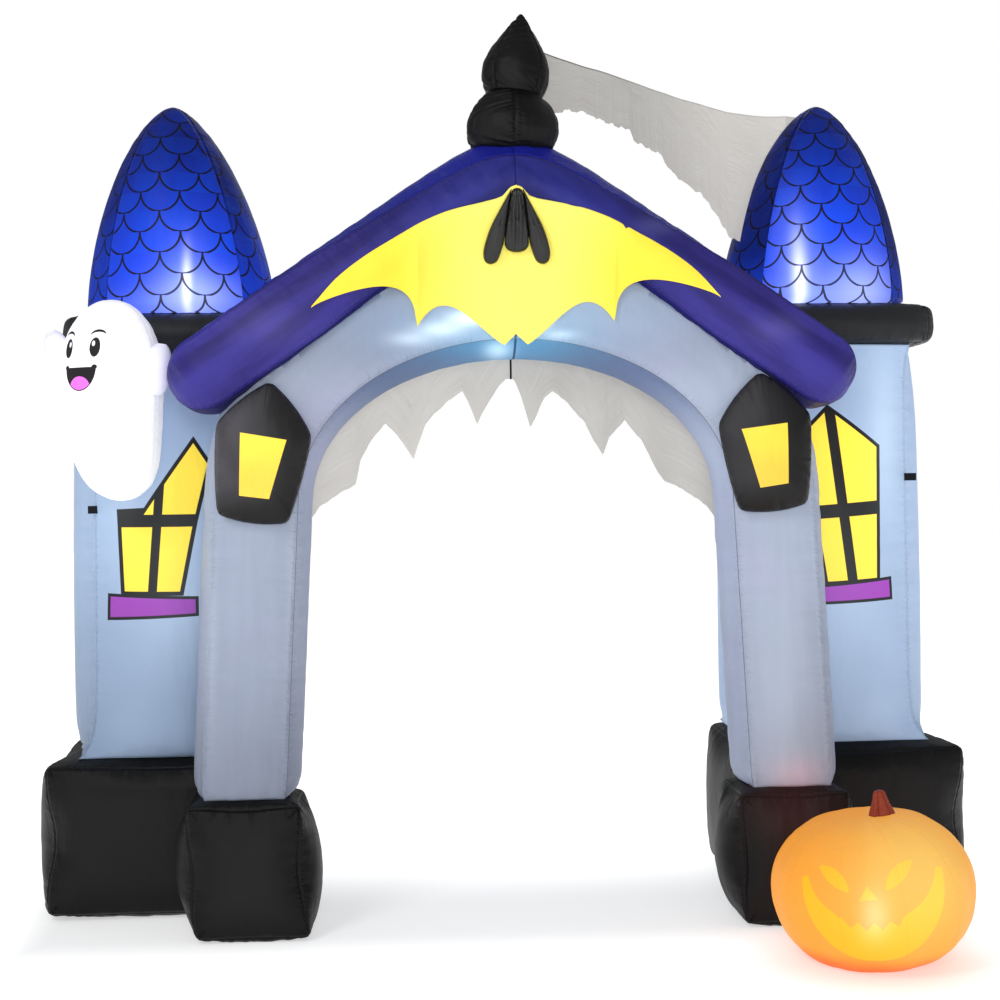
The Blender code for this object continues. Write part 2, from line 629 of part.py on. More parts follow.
# ---------------------------------------------------------------- pumpkin
def pumpkin(front_base_right):
    """A ribbed, leaning pumpkin that sits flat on the ground and presses on the base."""
    radius, deep, tall = PUMPKIN["radius"], PUMPKIN["deep"], PUMPKIN["tall"]
    lean = Matrix.Rotation(math.radians(PUMPKIN["lean"]), 3, "Y")
    rings = []
    count, levels = 40, 14
    sink = 0.012
    for level in range(1, levels):
        angle = math.pi * (level / levels) - math.pi / 2
        reach = math.cos(angle) ** (0.66 if angle < 0 else 0.82)
        height = tall / 2 * math.sin(angle)
        dimple = 0.010 * max(0, level - levels + 3)
        ring = []
        for i in range(count):
            turn = 2 * math.pi * i / count
            rib = reach * (1 - 0.030 * abs(math.cos(PUMPKIN["ribs"] / 2 * turn)) ** 6)
            spot = lean @ Vector((radius * rib * math.cos(turn), deep * rib * math.sin(turn),
                                  height - dimple))
            ring.append((spot.x, spot.y, max(spot.z + tall / 2 - sink, 0)))
        rings.append(ring)
    top = lean @ Vector((0, 0, tall / 2 - 0.032))
    crown_z = top.z + tall / 2 - sink
    middle = (PUMPKIN["x"], -PUMPKIN_REACH + deep, 0)
    body = place("pumpkin", loft("pumpkin", rings, ((0, 0, 0), (top.x, top.y, crown_z))),
                 "pumpkin_orange", middle)
    seat(body, front_base_right)
    stem_rows = ((0.000, 0.092), (0.014, 0.090), (0.022, 0.082), (0.022, 0.064), (0.026, 0.042),
                 (0.036, 0.018), (0.044, 0.000), (0.000, -0.012))
    stem = turned("pumpkin_stem", stem_rows, 12, "stem_brown",
                  (middle[0] + top.x, middle[1], crown_z + 0.010),
                  (0, math.radians(PUMPKIN["lean"] - 12), 0))
    seat(stem, body)


# ---------------------------------------------------------------- tether tabs
def tether_tab(name, side, height, tower_piece):
    """A folded webbing tab on a tower's front outer seam; its narrow eye is open up and down."""
    root, out, half, thick = TAB["root"], TAB["out"], TAB["half"], TAB["thick"]
    reach = root + out
    bend = reach - half
    fold = ((0, half), (bend, half), (reach, 0), (bend, -half), (0, -half))
    inside = ((0, half - thick), (bend, half - thick), (reach - thick, 0), (bend, thick - half),
              (0, thick - half))
    bm = bmesh.new()
    rows = []
    for across in (-TAB["width"] / 2, TAB["width"] / 2):
        rows.append([bm.verts.new((x, across, z)) for x, z in fold + inside[::-1]])
    count = len(rows[0])
    for i in range(count):
        j = (i + 1) % count
        bm.faces.new((rows[0][i], rows[0][j], rows[1][j], rows[1][i]))
    for row in rows:
        for i in range(len(fold) - 1):
            bm.faces.new((row[i], row[i + 1], row[count - 2 - i], row[count - 1 - i]))
    corner = 0.233                      # half the width between the tower's seams
    heading = math.radians(-90 + side * 45)
    start = Vector((side * (TOWER_X + corner), TOWER_DEPTH - corner))
    back_off = Vector((math.cos(heading), math.sin(heading))) * root
    piece = place(name, finished_mesh(name, bm), "base_black",
                  (start.x - back_off.x, start.y - back_off.y, height),
                  (math.radians(90), 0, heading))
    seat(piece, tower_piece)
    return piece


# ---------------------------------------------------------------- the arch, put together
SIDES = (("left", -1), ("right", 1))
made = {}
for label, side in SIDES:
    made["front", label] = front_base("base_front_" + label, side)
    made["rear", label] = rear_base("base_rear_" + label, side)
    made["tower", label] = tower("tower_" + label, side)
    made["band", label] = band("cornice_" + label, side)
    made["cone", label] = cone("cone_" + label, side)
    made["arch", label] = arch_half("arch_" + label, side)
    made["roof", label] = roof_half("roof_" + label, side)

for label, _ in SIDES:
    seat(made["arch", label], made["roof", label])

for label, side in SIDES:
    lantern("lantern_" + label, side, made["arch", label])

top_bulb, low_bulb = finial()
seat(low_bulb, made["roof", "left"], made["roof", "right"])
seat(top_bulb, low_bulb)

_, bat_points = bat()
pad("bat_pad_left", -0.021, -0.078, 1.962, 0.029, bat_points)
pad("bat_pad_middle", 0.003, 0.006, 1.995, 0.026, bat_points)
pad("bat_pad_right", 0.027, 0.090, 1.962, 0.029, bat_points)

gauze_top((top_bulb, low_bulb), made["cone", "right"])
for label, side in SIDES:
    valance("valance_" + label, side, made["arch", label])

valance_tie((made["arch", "left"], made["arch", "right"]))

ghost(made["tower", "left"], made["roof", "left"])
pumpkin(made["front", "right"])
for (label, side), height in zip(SIDES, (1.260, 1.330)):
    tether_tab("tether_tab_" + label, side, height, made["tower", label])
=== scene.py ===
"""Looks of the walk-through inflatable arch: blown-up nylon with seams, prints, gauze and inner light."""
import math

import bmesh
import bpy
import numpy as np
from mathutils import Matrix, Vector
from mathutils.bvhtree import BVHTree


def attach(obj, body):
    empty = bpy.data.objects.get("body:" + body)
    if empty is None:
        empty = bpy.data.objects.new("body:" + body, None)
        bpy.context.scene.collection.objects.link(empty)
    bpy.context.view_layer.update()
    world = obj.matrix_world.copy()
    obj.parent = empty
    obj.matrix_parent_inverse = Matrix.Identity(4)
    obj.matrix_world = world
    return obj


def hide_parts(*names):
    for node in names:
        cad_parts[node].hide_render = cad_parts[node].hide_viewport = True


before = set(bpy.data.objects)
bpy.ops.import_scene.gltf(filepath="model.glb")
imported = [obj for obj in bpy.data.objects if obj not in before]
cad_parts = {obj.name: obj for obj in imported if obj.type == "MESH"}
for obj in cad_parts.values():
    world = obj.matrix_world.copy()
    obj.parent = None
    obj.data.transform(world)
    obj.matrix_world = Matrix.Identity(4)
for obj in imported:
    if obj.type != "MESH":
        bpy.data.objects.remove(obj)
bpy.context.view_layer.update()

# ---------------------------------------------------------------- sizes, as in the frame, in metres
FRONT_Y = -0.210            # front plane of the front bases; depths are measured back from it
GAP = 0.0003
SEAM_GAP = GAP / 2
PUMPKIN_REACH, REAR_FACE, BASE_MEET = 0.625, 1.045, 0.320
FRONT_BASE = dict(x=0.812, width=0.343, height=0.410, swell=0.047, end_swell=0.032, pinch=0.025)
REAR_BASE = dict(x=1.084, width=0.722, height=0.490, swell=0.039, end_swell=0.030, pinch=0.030)
BASE_TOP_SWELL, BASE_EASE = 0.030, 0.005
TOWER_X, TOWER_DEPTH, TOWER_TOP = 1.052, 0.685, 1.735
BAND = dict(x=1.045, half=(0.338, 0.285), swell=(0.022, 0.050), top=1.872)
CONE = dict(x=1.036, half=0.214, swell=0.424, height=0.690, lean=0.024)
LIFT = {-1: 0.0, 1: 0.018}  # the right tower stands a little taller
SHIFT = {-1: -0.011, 1: 0.0}  # the left tower and its base stand a little further out
SKEW = {-1: 0.024, 1: 0.014}  # the front bases' feet stand a little to the right
SPRING_Z, SPRING_X, FOOT_X, CROWN_RISE = 1.270, 0.766, 0.812, 0.640
LEG_HALF, CROWN_HALF, LEG_SWELL, CROWN_SWELL = 0.1215, 0.158, 0.039, 0.054
ARCH_FRONT, ARCH_BACK, ARCH_FACE_SWELL = 0.062, 0.290, 0.024
ROOF_SLOPE, ROOF_TOP, ROOF_ROUND, ROOF_END_X = 0.692, 2.288, 0.080, 0.902
ROOF_HALF, ROOF_SWELL, ROOF_FRONT, ROOF_BACK, ROOF_FACE_SWELL = 0.082, 0.039, 0.002, 0.314, 0.030
LANTERN = dict(x={-1: 0.7545, 1: 0.742}, z={-1: 1.364, 1: 1.378}, tilt={-1: 8.0, 1: 5.4}, thick=0.120,
               sink=0.012)
FINIAL_SEAM_Z, FINIAL_DEPTH = 2.489, 0.160
GHOST = dict(x=-1.192, depth=0.235, z=1.590, tall=0.605, wide=0.325, deep=0.270, turn=-28.0)
PUMPKIN = dict(x=0.945, radius=0.276, deep=0.318, tall=0.432, lean=-6.0, ribs=10, face_turn=-17.0)
STEM_FOOT = (0.976, 0.386)  # across and height
BAT_THICK, GAUZE_THICK, VALANCE_DEPTH = 0.0016, 0.0012, 0.272
NYLON_THREAD, SATIN_THREAD, NET_MESH, STITCH = 0.0014, 0.0012, 0.0016, 0.0035  # pitches of the weaves
INV_E = 0.3679  # a light falls to this share at its reach

# the photograph's camera
CAMERA_PLACE = (-0.401, FRONT_Y - 5.080, 1.334)
CAMERA_YAW, CAMERA_PITCH, CAMERA_ROLL = 3.88, -0.63, 0.74
CAMERA_LENS = 63.0

SIDES = (("left", -1), ("right", 1))


# ---------------------------------------------------------------- small maths
def smooth_rows(rows, x, column=1):
    """Smooth reading of a table of rows by their first column, without overshooting."""
    xs = np.array([row[0] for row in rows], float)
    ys = np.array([row[column] for row in rows], float)
    gaps = np.diff(xs)
    slopes = np.diff(ys) / gaps
    tangents = np.concatenate(([slopes[0]], np.zeros(len(xs) - 2), [slopes[-1]]))
    same = slopes[:-1] * slopes[1:] > 0
    harmonic = 2 * slopes[:-1] * slopes[1:] / np.where(same, slopes[:-1] + slopes[1:], 1)
    tangents[1:-1] = np.where(same, harmonic, 0)
    x = np.clip(np.asarray(x, float), xs[0], xs[-1])
    i = np.clip(np.searchsorted(xs, x, side="right") - 1, 0, len(gaps) - 1)
    t = (x - xs[i]) / gaps[i]
    return (ys[i] * (1 + 2 * t) * (1 - t) ** 2 + tangents[i] * gaps[i] * t * (1 - t) ** 2
            + ys[i + 1] * t * t * (3 - 2 * t) + tangents[i + 1] * gaps[i] * t * t * (t - 1))


def ripple(along, seed, short=0.024, long=0.090):
    """Uneven wave between 0 and 1 along a seam, the way a gathered seam puckers."""
    rng = np.random.default_rng(seed)
    total = np.zeros_like(along)
    for length in np.geomspace(short, long, 6):
        total += np.sin(2 * np.pi * (along / (length * rng.uniform(0.85, 1.15)) + rng.uniform()))
    return 0.5 + 0.5 * np.tanh(total * 0.7)


def panel_steps(count):
    """Shares from -1 towards 1 across one panel, closer together near its seams."""
    even = np.linspace(-1, 1, count + 1)[:-1]
    return np.sign(even) * (1 - (1 - np.abs(even)) ** 1.5)


def hump(distance, reach):
    """0 at a seam, 1 at the reach and fading beyond it."""
    return distance / reach * np.exp(1 - distance / reach)


def run_along(points, axis):
    """Length run from the start of a grid along one of its axes."""
    run = np.linalg.norm(np.diff(points, axis=axis), axis=2).cumsum(axis=axis)
    return np.concatenate((np.zeros_like(run.take([0], axis)), run), axis=axis)


def read(items, key, size=3, kind=np.float32):
    """An attribute of all the vertices, normals or corners of a mesh."""
    values = np.empty(len(items) * size, kind)
    items.foreach_get(key, values)
    return values.reshape(-1, size)


def corner_vertices(mesh):
    return read(mesh.loops, "vertex_index", 1, np.int32)[:, 0]


def square_section(count):
    """The four panels' places on a square section, as (across, depth) shares."""
    t = panel_steps(count)
    one = np.ones_like(t)
    return np.concatenate((t, one, -t, -one)), np.concatenate((-one, t, one, -t))


# ---------------------------------------------------------------- meshes from grids
def set_uv(mesh, name, values):
    layer = mesh.uv_layers.get(name) or mesh.uv_layers.new(name=name)
    layer.data.foreach_set("uv", np.ascontiguousarray(values, dtype=np.float32).ravel())


def finished(mesh, *materials):
    """Give a mesh its materials, shade it smooth and put it in the scene under its own name."""
    for material in materials:
        mesh.materials.append(material)
    mesh.shade_smooth()
    piece = bpy.data.objects.new(mesh.name, mesh)
    bpy.context.scene.collection.objects.link(piece)
    return piece


def grid_normals(points, wrap):
    """Outward normals of a closed grid of rings."""
    around = np.roll(points, -1, 1) - np.roll(points, 1, 1) if wrap else np.gradient(points, axis=1)
    normals = np.cross(around, np.gradient(points, axis=0))
    normals /= np.maximum(np.linalg.norm(normals, axis=2, keepdims=True), 1e-12)
    return normals


def outward(points):
    normals = grid_normals(points, True)
    middles = points.mean(axis=1, keepdims=True)
    inside = ((points - middles) * normals).sum() < 0
    return -normals if inside else normals


def panel_measures(points, panels):
    """For a grid of rings: (place across the panel, distance to its nearest seam), per face corner."""
    run = run_along(np.concatenate((points, points[:, :1]), axis=1), 1)
    count = points.shape[1] // panels
    panel = np.arange(points.shape[1]) // count
    starts, ends = run[:, ::count][:, :-1][:, panel], run[:, ::count][:, 1:][:, panel]
    left, right = run[:, :-1], run[:, 1:]
    middle = (starts + ends) / 2

    def edge(value):
        return np.minimum(value - starts, ends - value)

    return (left - middle, right - middle), (edge(left), edge(right))


def pucker(points, panels, seed, depth=0.0013, reach=0.015, fold=0.0018, groove=0.0010, ends=0.0):
    """Draw a grid of rings in at its seams: a groove, short puckers and longer folds beside it."""
    normals = outward(points)
    _, (distance, _) = panel_measures(points, panels)
    along = run_along(points, 0)
    count = points.shape[1] // panels
    column = np.arange(points.shape[1])
    seam = ((column + count // 2) // count) % panels
    push = groove * np.exp(-(distance / 0.003) ** 2)
    for k in range(panels):
        mine = seam == k
        s = along[:, k * count][:, None]
        d = distance[:, mine]
        short, wide = ripple(s, seed + k), ripple(s, seed + 40 + k, 0.070, 0.240)
        spread = reach * (0.6 + 0.9 * ripple(s, seed + 80 + k, 0.035, 0.120))
        push[:, mine] += depth * short * hump(d, spread) + fold * wide * hump(d, 0.045)
    if ends:
        ring = np.linalg.norm(np.roll(points, -1, 1) - points, axis=2).cumsum(axis=1)
        for gap, salt in ((along, 7), (along[-1] - along, 9)):
            spread = 0.030 * (0.5 + ripple(ring, seed + salt + 1, 0.050, 0.200))
            push += ends * ripple(ring, seed + salt, 0.030, 0.100) * hump(gap, spread)
    return points - normals * push[:, :, None]


def ring_mesh(name, points, panels, tips=(None, None), panel_slots=None):
    """A closed skin from rings of points, with UV maps for the cloth and for its seams."""
    rings, count = points.shape[:2]
    tips = [points[end].mean(axis=0) if tip is None else np.array(tip, float)
            for tip, end in zip(tips, (0, -1))]
    row, col = np.meshgrid(np.arange(rings - 1), np.arange(count), indexing="ij")
    nxt = (col + 1) % count
    quads = np.stack((row * count + col, row * count + nxt, (row + 1) * count + nxt,
                      (row + 1) * count + col), axis=-1).reshape(-1, 4)
    (left, right), (edge_left, edge_right) = panel_measures(points, panels)
    steps = np.linalg.norm(np.diff(points, axis=0), axis=2).mean(axis=1)
    along = np.concatenate(([0.0], steps.cumsum()))[:, None] * np.ones((1, count))

    def corners(a, b):
        return np.stack((a[:-1], b[:-1], b[1:], a[1:]), axis=-1).reshape(-1)

    v = corners(along, along)
    cloth, seam = (np.stack((corners(a, b), v), axis=1) for a, b in ((left, right), (edge_left, edge_right)))
    top = (rings - 1) * count
    around = [(i, (i + 1) % count) for i in range(count)]
    low = [(b, a, rings * count) for a, b in around]
    high = [(top + a, top + b, rings * count + 1) for a, b in around]
    cap_uv = np.array([(x, along[end, 0]) for end, (a, b) in ((0, (right, left)), (-1, (left, right)))
                       for i in range(count) for x in (a[end, i], b[end, i], 0)])
    vertices = np.concatenate((points.reshape(-1, 3), np.array(tips)))
    a, b, c = (vertices[quads[:, i]] for i in range(3))
    if (np.cross(b - a, c - a) * (a - vertices.mean(axis=0))).sum() < 0:
        quads = quads[:, ::-1]
        low, high = ([face[::-1] for face in faces] for faces in (low, high))
        cloth, seam = (uv.reshape(-1, 4, 2)[:, ::-1].reshape(-1, 2) for uv in (cloth, seam))
        cap_uv = cap_uv.reshape(-1, 3, 2)[:, ::-1].reshape(-1, 2)
    mesh = bpy.data.meshes.new(name)
    mesh.from_pydata(vertices.tolist(), [], quads.tolist() + low + high)
    set_uv(mesh, "cloth", np.concatenate((cloth, cap_uv)))
    set_uv(mesh, "seam", np.concatenate((seam, [(1.0, 0.0)] * (6 * count))))
    if panel_slots:
        slots = np.tile(np.repeat(panel_slots, count // panels), rings - 1)
        slots = np.concatenate((slots, np.zeros(2 * count, int)))
        mesh.polygons.foreach_set("material_index", slots.astype(np.int32))
    return mesh


def stands_for(piece, slot, *nodes):
    """The piece takes a node's place and rides with the arch."""
    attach(piece, "root")
    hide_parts(*nodes)
    return piece


def cut(piece, *neighbours):
    """Cut the neighbours' shapes out of a piece, so that it presses on them all along."""
    for neighbour in neighbours:
        grown = neighbour.data.copy()
        grown.name = neighbour.name + "_cutter"
        spots = read(grown.vertices, "co") + read(grown.vertex_normals, "vector") * GAP
        grown.vertices.foreach_set("co", spots.ravel())
        cutter = bpy.data.objects.new(grown.name, grown)
        bpy.context.scene.collection.objects.link(cutter)
        cutter.matrix_world = neighbour.matrix_world
        trim = piece.modifiers.new("seat", "BOOLEAN")
        trim.operation, trim.solver, trim.object = "DIFFERENCE", "MANIFOLD", cutter
        bpy.context.view_layer.update()
        seen = piece.evaluated_get(bpy.context.evaluated_depsgraph_get())
        mesh = bpy.data.meshes.new_from_object(seen)
        piece.modifiers.clear()
        piece.data = mesh
        bpy.data.objects.remove(cutter)
    return piece


def sewn(node, slot, skin, panels, materials, neighbours=(), **how):
    """The piece that stands for a node: a skin of sewn panels, cut to what it presses on."""
    piece = finished(ring_mesh(node + "_skin", skin, panels, **how), *materials)
    return stands_for(cut(piece, *neighbours), slot, node)


# ---------------------------------------------------------------- nodes
class Field:
    """A socket of a material's graph that can be calculated with."""

    def __init__(self, graph, socket):
        self.graph, self.socket = graph, socket

    def __add__(self, other):
        return self.graph.math("ADD", self, other)

    def __sub__(self, other):
        return self.graph.math("SUBTRACT", self, other)

    def __rsub__(self, other):
        return self.graph.math("SUBTRACT", other, self)

    def __mul__(self, other):
        return self.graph.math("MULTIPLY", self, other)

    def __truediv__(self, other):
        return self.graph.math("DIVIDE", self, other)

    def __abs__(self):
        return self.graph.math("ABSOLUTE", self)

    def __and__(self, other):
        """The larger: for signed distances, what lies in both shapes."""
        return self.graph.math("MAXIMUM", self, other)

    def __or__(self, other):
        """The smaller: for signed distances, what lies in either shape."""
        return self.graph.math("MINIMUM", self, other)

    def times_plus(self, factor, added):
        return self.graph.math("MULTIPLY_ADD", self, factor, added)

    def wave(self, pitch, turn=2 * math.pi):
        return self.graph.math("SINE", self * (turn / pitch))


class Graph:
    """Short names for the nodes of one material."""

    def __init__(self, name, roughness=0.5, specular=0.35):
        self.material = bpy.data.materials.new(name)
        self.material.use_nodes = True
        self.tree = self.material.node_tree
        self.sockets = self.tree.nodes["Principled BSDF"].inputs
        self.finish(Roughness=roughness, Specular_IOR_Level=specular)

    def finish(self, **values):
        """Set or link the shader's own sockets."""
        for key, value in values.items():
            self.put(self.sockets[key.replace("_", " ")], value)
        return self.material

    def put(self, socket, value):
        if isinstance(value, Field):
            self.tree.links.new(value.socket, socket)
        else:
            socket.default_value = value

    def node(self, kind, *values, **settings):
        """A new node with its first inputs filled; gives its outputs."""
        made = self.tree.nodes.new("ShaderNode" + kind)
        for key, value in settings.items():
            setattr(made, key, value)
        for socket, value in zip(made.inputs, values):
            self.put(socket, value)
        return made

    def math(self, operation, a, b=0.0, c=0.0):
        return Field(self, self.node("Math", a, b, c, operation=operation).outputs[0])

    def vector(self, operation, a, b=(0, 0, 0)):
        made = self.node("VectorMath", a, b, operation=operation)
        return Field(self, made.outputs["Value" if operation in ("DOT_PRODUCT", "LENGTH") else "Vector"])

    def scale(self, vector, amount):
        made = self.node("VectorMath", vector, operation="SCALE")
        self.put(made.inputs["Scale"], amount)
        return Field(self, made.outputs[0])

    def split(self, vector):
        return [Field(self, socket) for socket in self.node("SeparateXYZ", vector).outputs]

    def join(self, x, y, z=0.0):
        return Field(self, self.node("CombineXYZ", x, y, z).outputs[0])

    def place(self):
        return Field(self, self.node("TexCoord").outputs["Object"])

    def uv(self, name):
        return self.split(Field(self, self.node("UVMap", uv_map=name).outputs[0]))[:2]

    def noise(self, vector, scale, detail=2.0):
        made = self.node("TexNoise", vector)
        for key, value in (("Scale", scale), ("Detail", detail)):
            made.inputs[key].default_value = value
        return Field(self, made.outputs["Fac"])

    def spread(self, value, low, high, start=0.0, end=1.0):
        """Smooth step from start to end as the value goes from low to high."""
        made = self.node("MapRange", value, low, high, start, end, interpolation_type="SMOOTHSTEP")
        return Field(self, made.outputs[0])

    def inside(self, distance, soft=0.0008):
        """1 where a signed distance is negative."""
        return self.spread(distance, -soft, soft, 1.0, 0.0)

    def mix(self, factor, a, b):
        made = self.node("Mix", factor, data_type="RGBA")
        colours = [socket for socket in made.inputs if socket.type == "RGBA"]
        for socket, colour in zip(colours, (a, b)):
            self.put(socket, colour if isinstance(colour, Field) else (*colour[:3], 1))
        return Field(self, [socket for socket in made.outputs if socket.type == "RGBA"][0])

    def bump(self, height, distance, normal=None):
        made = self.node("Bump")
        for key, value in (("Strength", 1.0), ("Distance", distance), ("Height", height)):
            self.put(made.inputs[key], value)
        if normal:
            self.put(made.inputs["Normal"], normal)
        return Field(self, made.outputs[0])

    def polygon(self, x, z, corners):
        """Signed distance to a convex outline whose corners run clockwise."""
        far = None
        for (x0, z0), (x1, z1) in zip(corners, corners[1:] + corners[:1]):
            length = math.hypot(x1 - x0, z1 - z0)
            nx, nz = (z0 - z1) / length, (x1 - x0) / length
            part = z.times_plus(nz, x.times_plus(nx, -(x0 * nx + z0 * nz)))
            far = far & part if far else part
        return far

    def ellipse(self, x, z, centre, radii):
        """Below 0 inside an ellipse; in units of its smaller radius, in metres."""
        a, b = (v.times_plus(1 / r, -c / r) for v, r, c in zip((x, z), radii, centre))
        reach = self.math("SQRT", a.times_plus(a, b * b))
        return reach.times_plus(min(radii), -min(radii))


def srgb(red, green, blue):
    """A linear colour from 0-255 screen values."""
    return tuple(c / 12.92 if c <= 0.04045 else ((c + 0.055) / 1.055) ** 2.4
                 for c in (red / 255, green / 255, blue / 255))


INK = srgb(27, 25, 25)
BLACK = srgb(19, 18, 18)
PANE = srgb(250, 220, 72)
MAGENTA = srgb(150, 66, 172)
TOWER_BLUE = srgb(148, 168, 196)
COLUMN_BLUE = srgb(146, 155, 174)
CONE_BLUE = srgb(14, 38, 136)
WHITE = (1.0, 1.0, 1.0)
LED = (0.80, 0.95, 1.0)
PUMPKIN_LIGHT = (1.0, 0.22, 0.24)
VIOLET = (0.75, 0.70, 1.0)
SKY = (0.02, 0.58, 1.0)


def even(strength):
    """A glow that is the same at every height."""
    return 0, 1, strength, strength


def lamp_light(g, lamps):
    """Soft lights seen through the cloth, and painted highlights and painted light on it: (across, depth and
    height; reach along each; strength; colour).
    """
    place = g.place()
    total = None
    for (x, depth, z), reach, strength, colour in lamps:
        away = g.vector("SUBTRACT", place, (x, FRONT_Y + depth, z))
        away = g.vector("MULTIPLY", away, tuple(1 / r for r in reach))
        fall = g.math("POWER", INV_E, g.vector("DOT_PRODUCT", away, away))
        part = g.scale(tuple(c * strength for c in colour), fall)
        total = g.vector("ADD", total, part) if total else part
    return total


def nylon(name, colour, roughness=0.48, specular=0.14, seam_tone=0.80, seam_shade_tone=0.05, lamps=(),
          glow=None, core=None, printed=None, mottle=0.05, crease=1.0, grain=(1.0, 1.0, 0.35), panel_shading=None,
          seam=1.0, broad=1.0):
    """Coated nylon: woven surface, sewn and puckered seams, cloudy tone and light from inside, with painted
    highlights and painted shade where asked.

    panel_shading is painted shade from a seam inwards that rises to a painted highlight in the panel's middle
    when its last value is above 1, glow the light by height, core where it is brightest across, seam and
    broad how dark and how wide the stitched line shows."""
    g = Graph(name, roughness, specular)
    across, along = g.uv("cloth")
    edge, run = g.uv("seam")
    place = g.place()
    tone = g.spread(g.noise(place, 2.6, 3.0), 0.25, 0.75, 1 - mottle, 1 + mottle)
    base, ink = printed(g, place, across, along) if printed else (colour, 0.0)
    # painted shade by the seams, rising to a painted highlight in the panel's middle
    if panel_shading:
        tone = tone * g.spread(edge, 0.0, *panel_shading)
    thread = g.spread(g.math("PINGPONG", run, STITCH), 0.0012, 0.0018, 0.8 * seam, seam)
    line = g.spread(edge, 0.0006 * broad, 0.0020 * broad, 1.0, 0.0) * thread
    # the stitched line, and beside it a faint band of painted shade for the seam's hollow
    mark = line & g.spread(edge, 0.004, 0.014, seam_shade_tone, 0.0)
    base = g.mix(mark, g.scale(base, tone), tuple(c * seam_tone for c in colour))
    # woven threads, seam puckers and a few soft creases
    bumped = g.bump(across.wave(NYLON_THREAD) * along.wave(NYLON_THREAD), 0.00005)
    gather = g.noise(g.join(run * 60.0, edge * 12.0, across * 2.0), 1.0, 2.0)
    near = g.spread(edge, 0.002, 0.050, 1.0, 0.0) * g.spread(edge, 0.0, 0.012)
    bumped = g.bump(gather * near, 0.0045 * crease, bumped)
    ticks = g.noise(g.join(run * 150.0, edge * 20.0, across * 3.0), 1.0, 1.0)
    beside = g.spread(edge, 0.008, 0.022, 1.0, 0.0) * g.spread(edge, 0.0, 0.008)
    bumped = g.bump(g.spread(ticks, 0.35, 0.65) * beside, 0.0014 * crease, bumped)
    folds = g.noise(g.vector("MULTIPLY", place, grain), 9.0, 3.0)
    bumped = g.bump(g.spread(folds, 0.35, 0.70), 0.0030 * crease, bumped)
    light = None
    if glow:
        light = g.scale(base, g.spread(g.split(place)[2], *glow))
    if core:
        off = (g.split(place)[0] - core[0]) / core[1]
        light = g.scale(light, g.math("POWER", INV_E, off * off).times_plus(0.8, 0.2))
    if lamps:
        shaded = mark * 0.6
        clear = (shaded if ink == 0.0 else ink & shaded).times_plus(-0.88, 1.0)
        spots = g.scale(lamp_light(g, lamps), clear)
        light = g.vector("ADD", light, spots) if light else spots
    if light:
        g.finish(Emission_Color=light, Emission_Strength=1.0)
    return g.finish(Base_Color=base, Normal=bumped)


# ---------------------------------------------------------------- prints
def window_print(side):
    """The crooked printed window of a tower, drawn on its front only."""
    def draw(g, place, across, along):
        x, y, z = g.split(place)
        x = x - side * TOWER_X
        if side < 0:
            spire = g.polygon(x, z, [(-0.106, 1.225), (0.075, 1.484), (0.128, 1.400), (0.086, 1.225)])
            low = g.polygon(x, z, [(-0.166, 1.261), (0.095, 1.272), (0.040, 0.993), (-0.155, 0.995)])
            frame_edge = spire | low
            panes = ((spire + 0.012) & (1.2435 - z)) | ((low + 0.013) & (z - 1.205))
            panes = panes & (0.0140 - abs(x + z.times_plus(-0.0806, 0.0355 + 0.0806 * 1.2425)))
            sill = [(-0.199, 1.001), (0.085, 0.990), (0.085, 0.929), (-0.202, 0.917)]
        else:
            frame_edge = g.polygon(x, z, [(-0.045, 1.5625), (0.129, 1.432), (0.124, 1.000),
                                          (-0.060, 0.990), (-0.132, 1.470)])
            cross = 0.0215 - abs(z + x.times_plus(-0.0695, -1.2269))
            bar = 0.0165 - abs(x + z.times_plus(0.1236, -0.0274 - 0.1236 * 1.014))
            panes = (frame_edge + 0.012) & (cross & bar)
            sill = [(-0.128, 0.989), (0.167, 1.014), (0.170, 0.940), (-0.128, 0.927)]
        front = g.math("LESS_THAN", y, FRONT_Y + TOWER_DEPTH - 0.02)
        plank = g.polygon(x, z, sill)
        colour = TOWER_BLUE
        for shape, paint in ((frame_edge, INK), (panes, PANE), (plank, INK), (plank + 0.0095, MAGENTA)):
            colour = g.mix(g.inside(shape) * front, colour, paint)
        return colour, g.inside(frame_edge | plank) * front * 0.8
    return draw


def scale_print(g, place, across, along, tone=1.0):
    """Rows of round scales outlined in black, half a scale apart, on each gore."""
    pitch, line = 0.0686, 0.0033
    wide = along.times_plus(-0.030, 0.138)
    level = (along + 0.010) / pitch
    row, rise = g.math("FLOOR", level), g.math("FRACT", level)
    shift = g.math("MODULO", row, 2.0) * 0.5
    aside = (g.math("FRACT", across / wide + 20.25 + shift) - 0.5) * 2.0
    drop = 1.0 - rise
    off = abs(g.math("SQRT", aside.times_plus(aside, drop * drop)) - 1.0) * pitch
    mark = g.spread(off, line * 0.8, line * 1.3, 1.0, 0.0)
    blue = g.mix(g.spread(along, 0.05, 0.62), CONE_BLUE, srgb(8, 28, 112))
    patch = g.noise(g.join(row * 3.7, across * 9.0, row), 1.0)
    blue = g.mix(g.spread(patch, 0.40, 0.62, 0.0, 0.40), blue, srgb(6, 44, 140))
    return g.mix(mark, g.scale(blue, tone), srgb(8, 9, 22)), mark


# the cone's side gores: the same scales, painted darker as shade
def shaded_side_scale_print(g, place, across, along):
    return scale_print(g, place, across, along, 0.72)


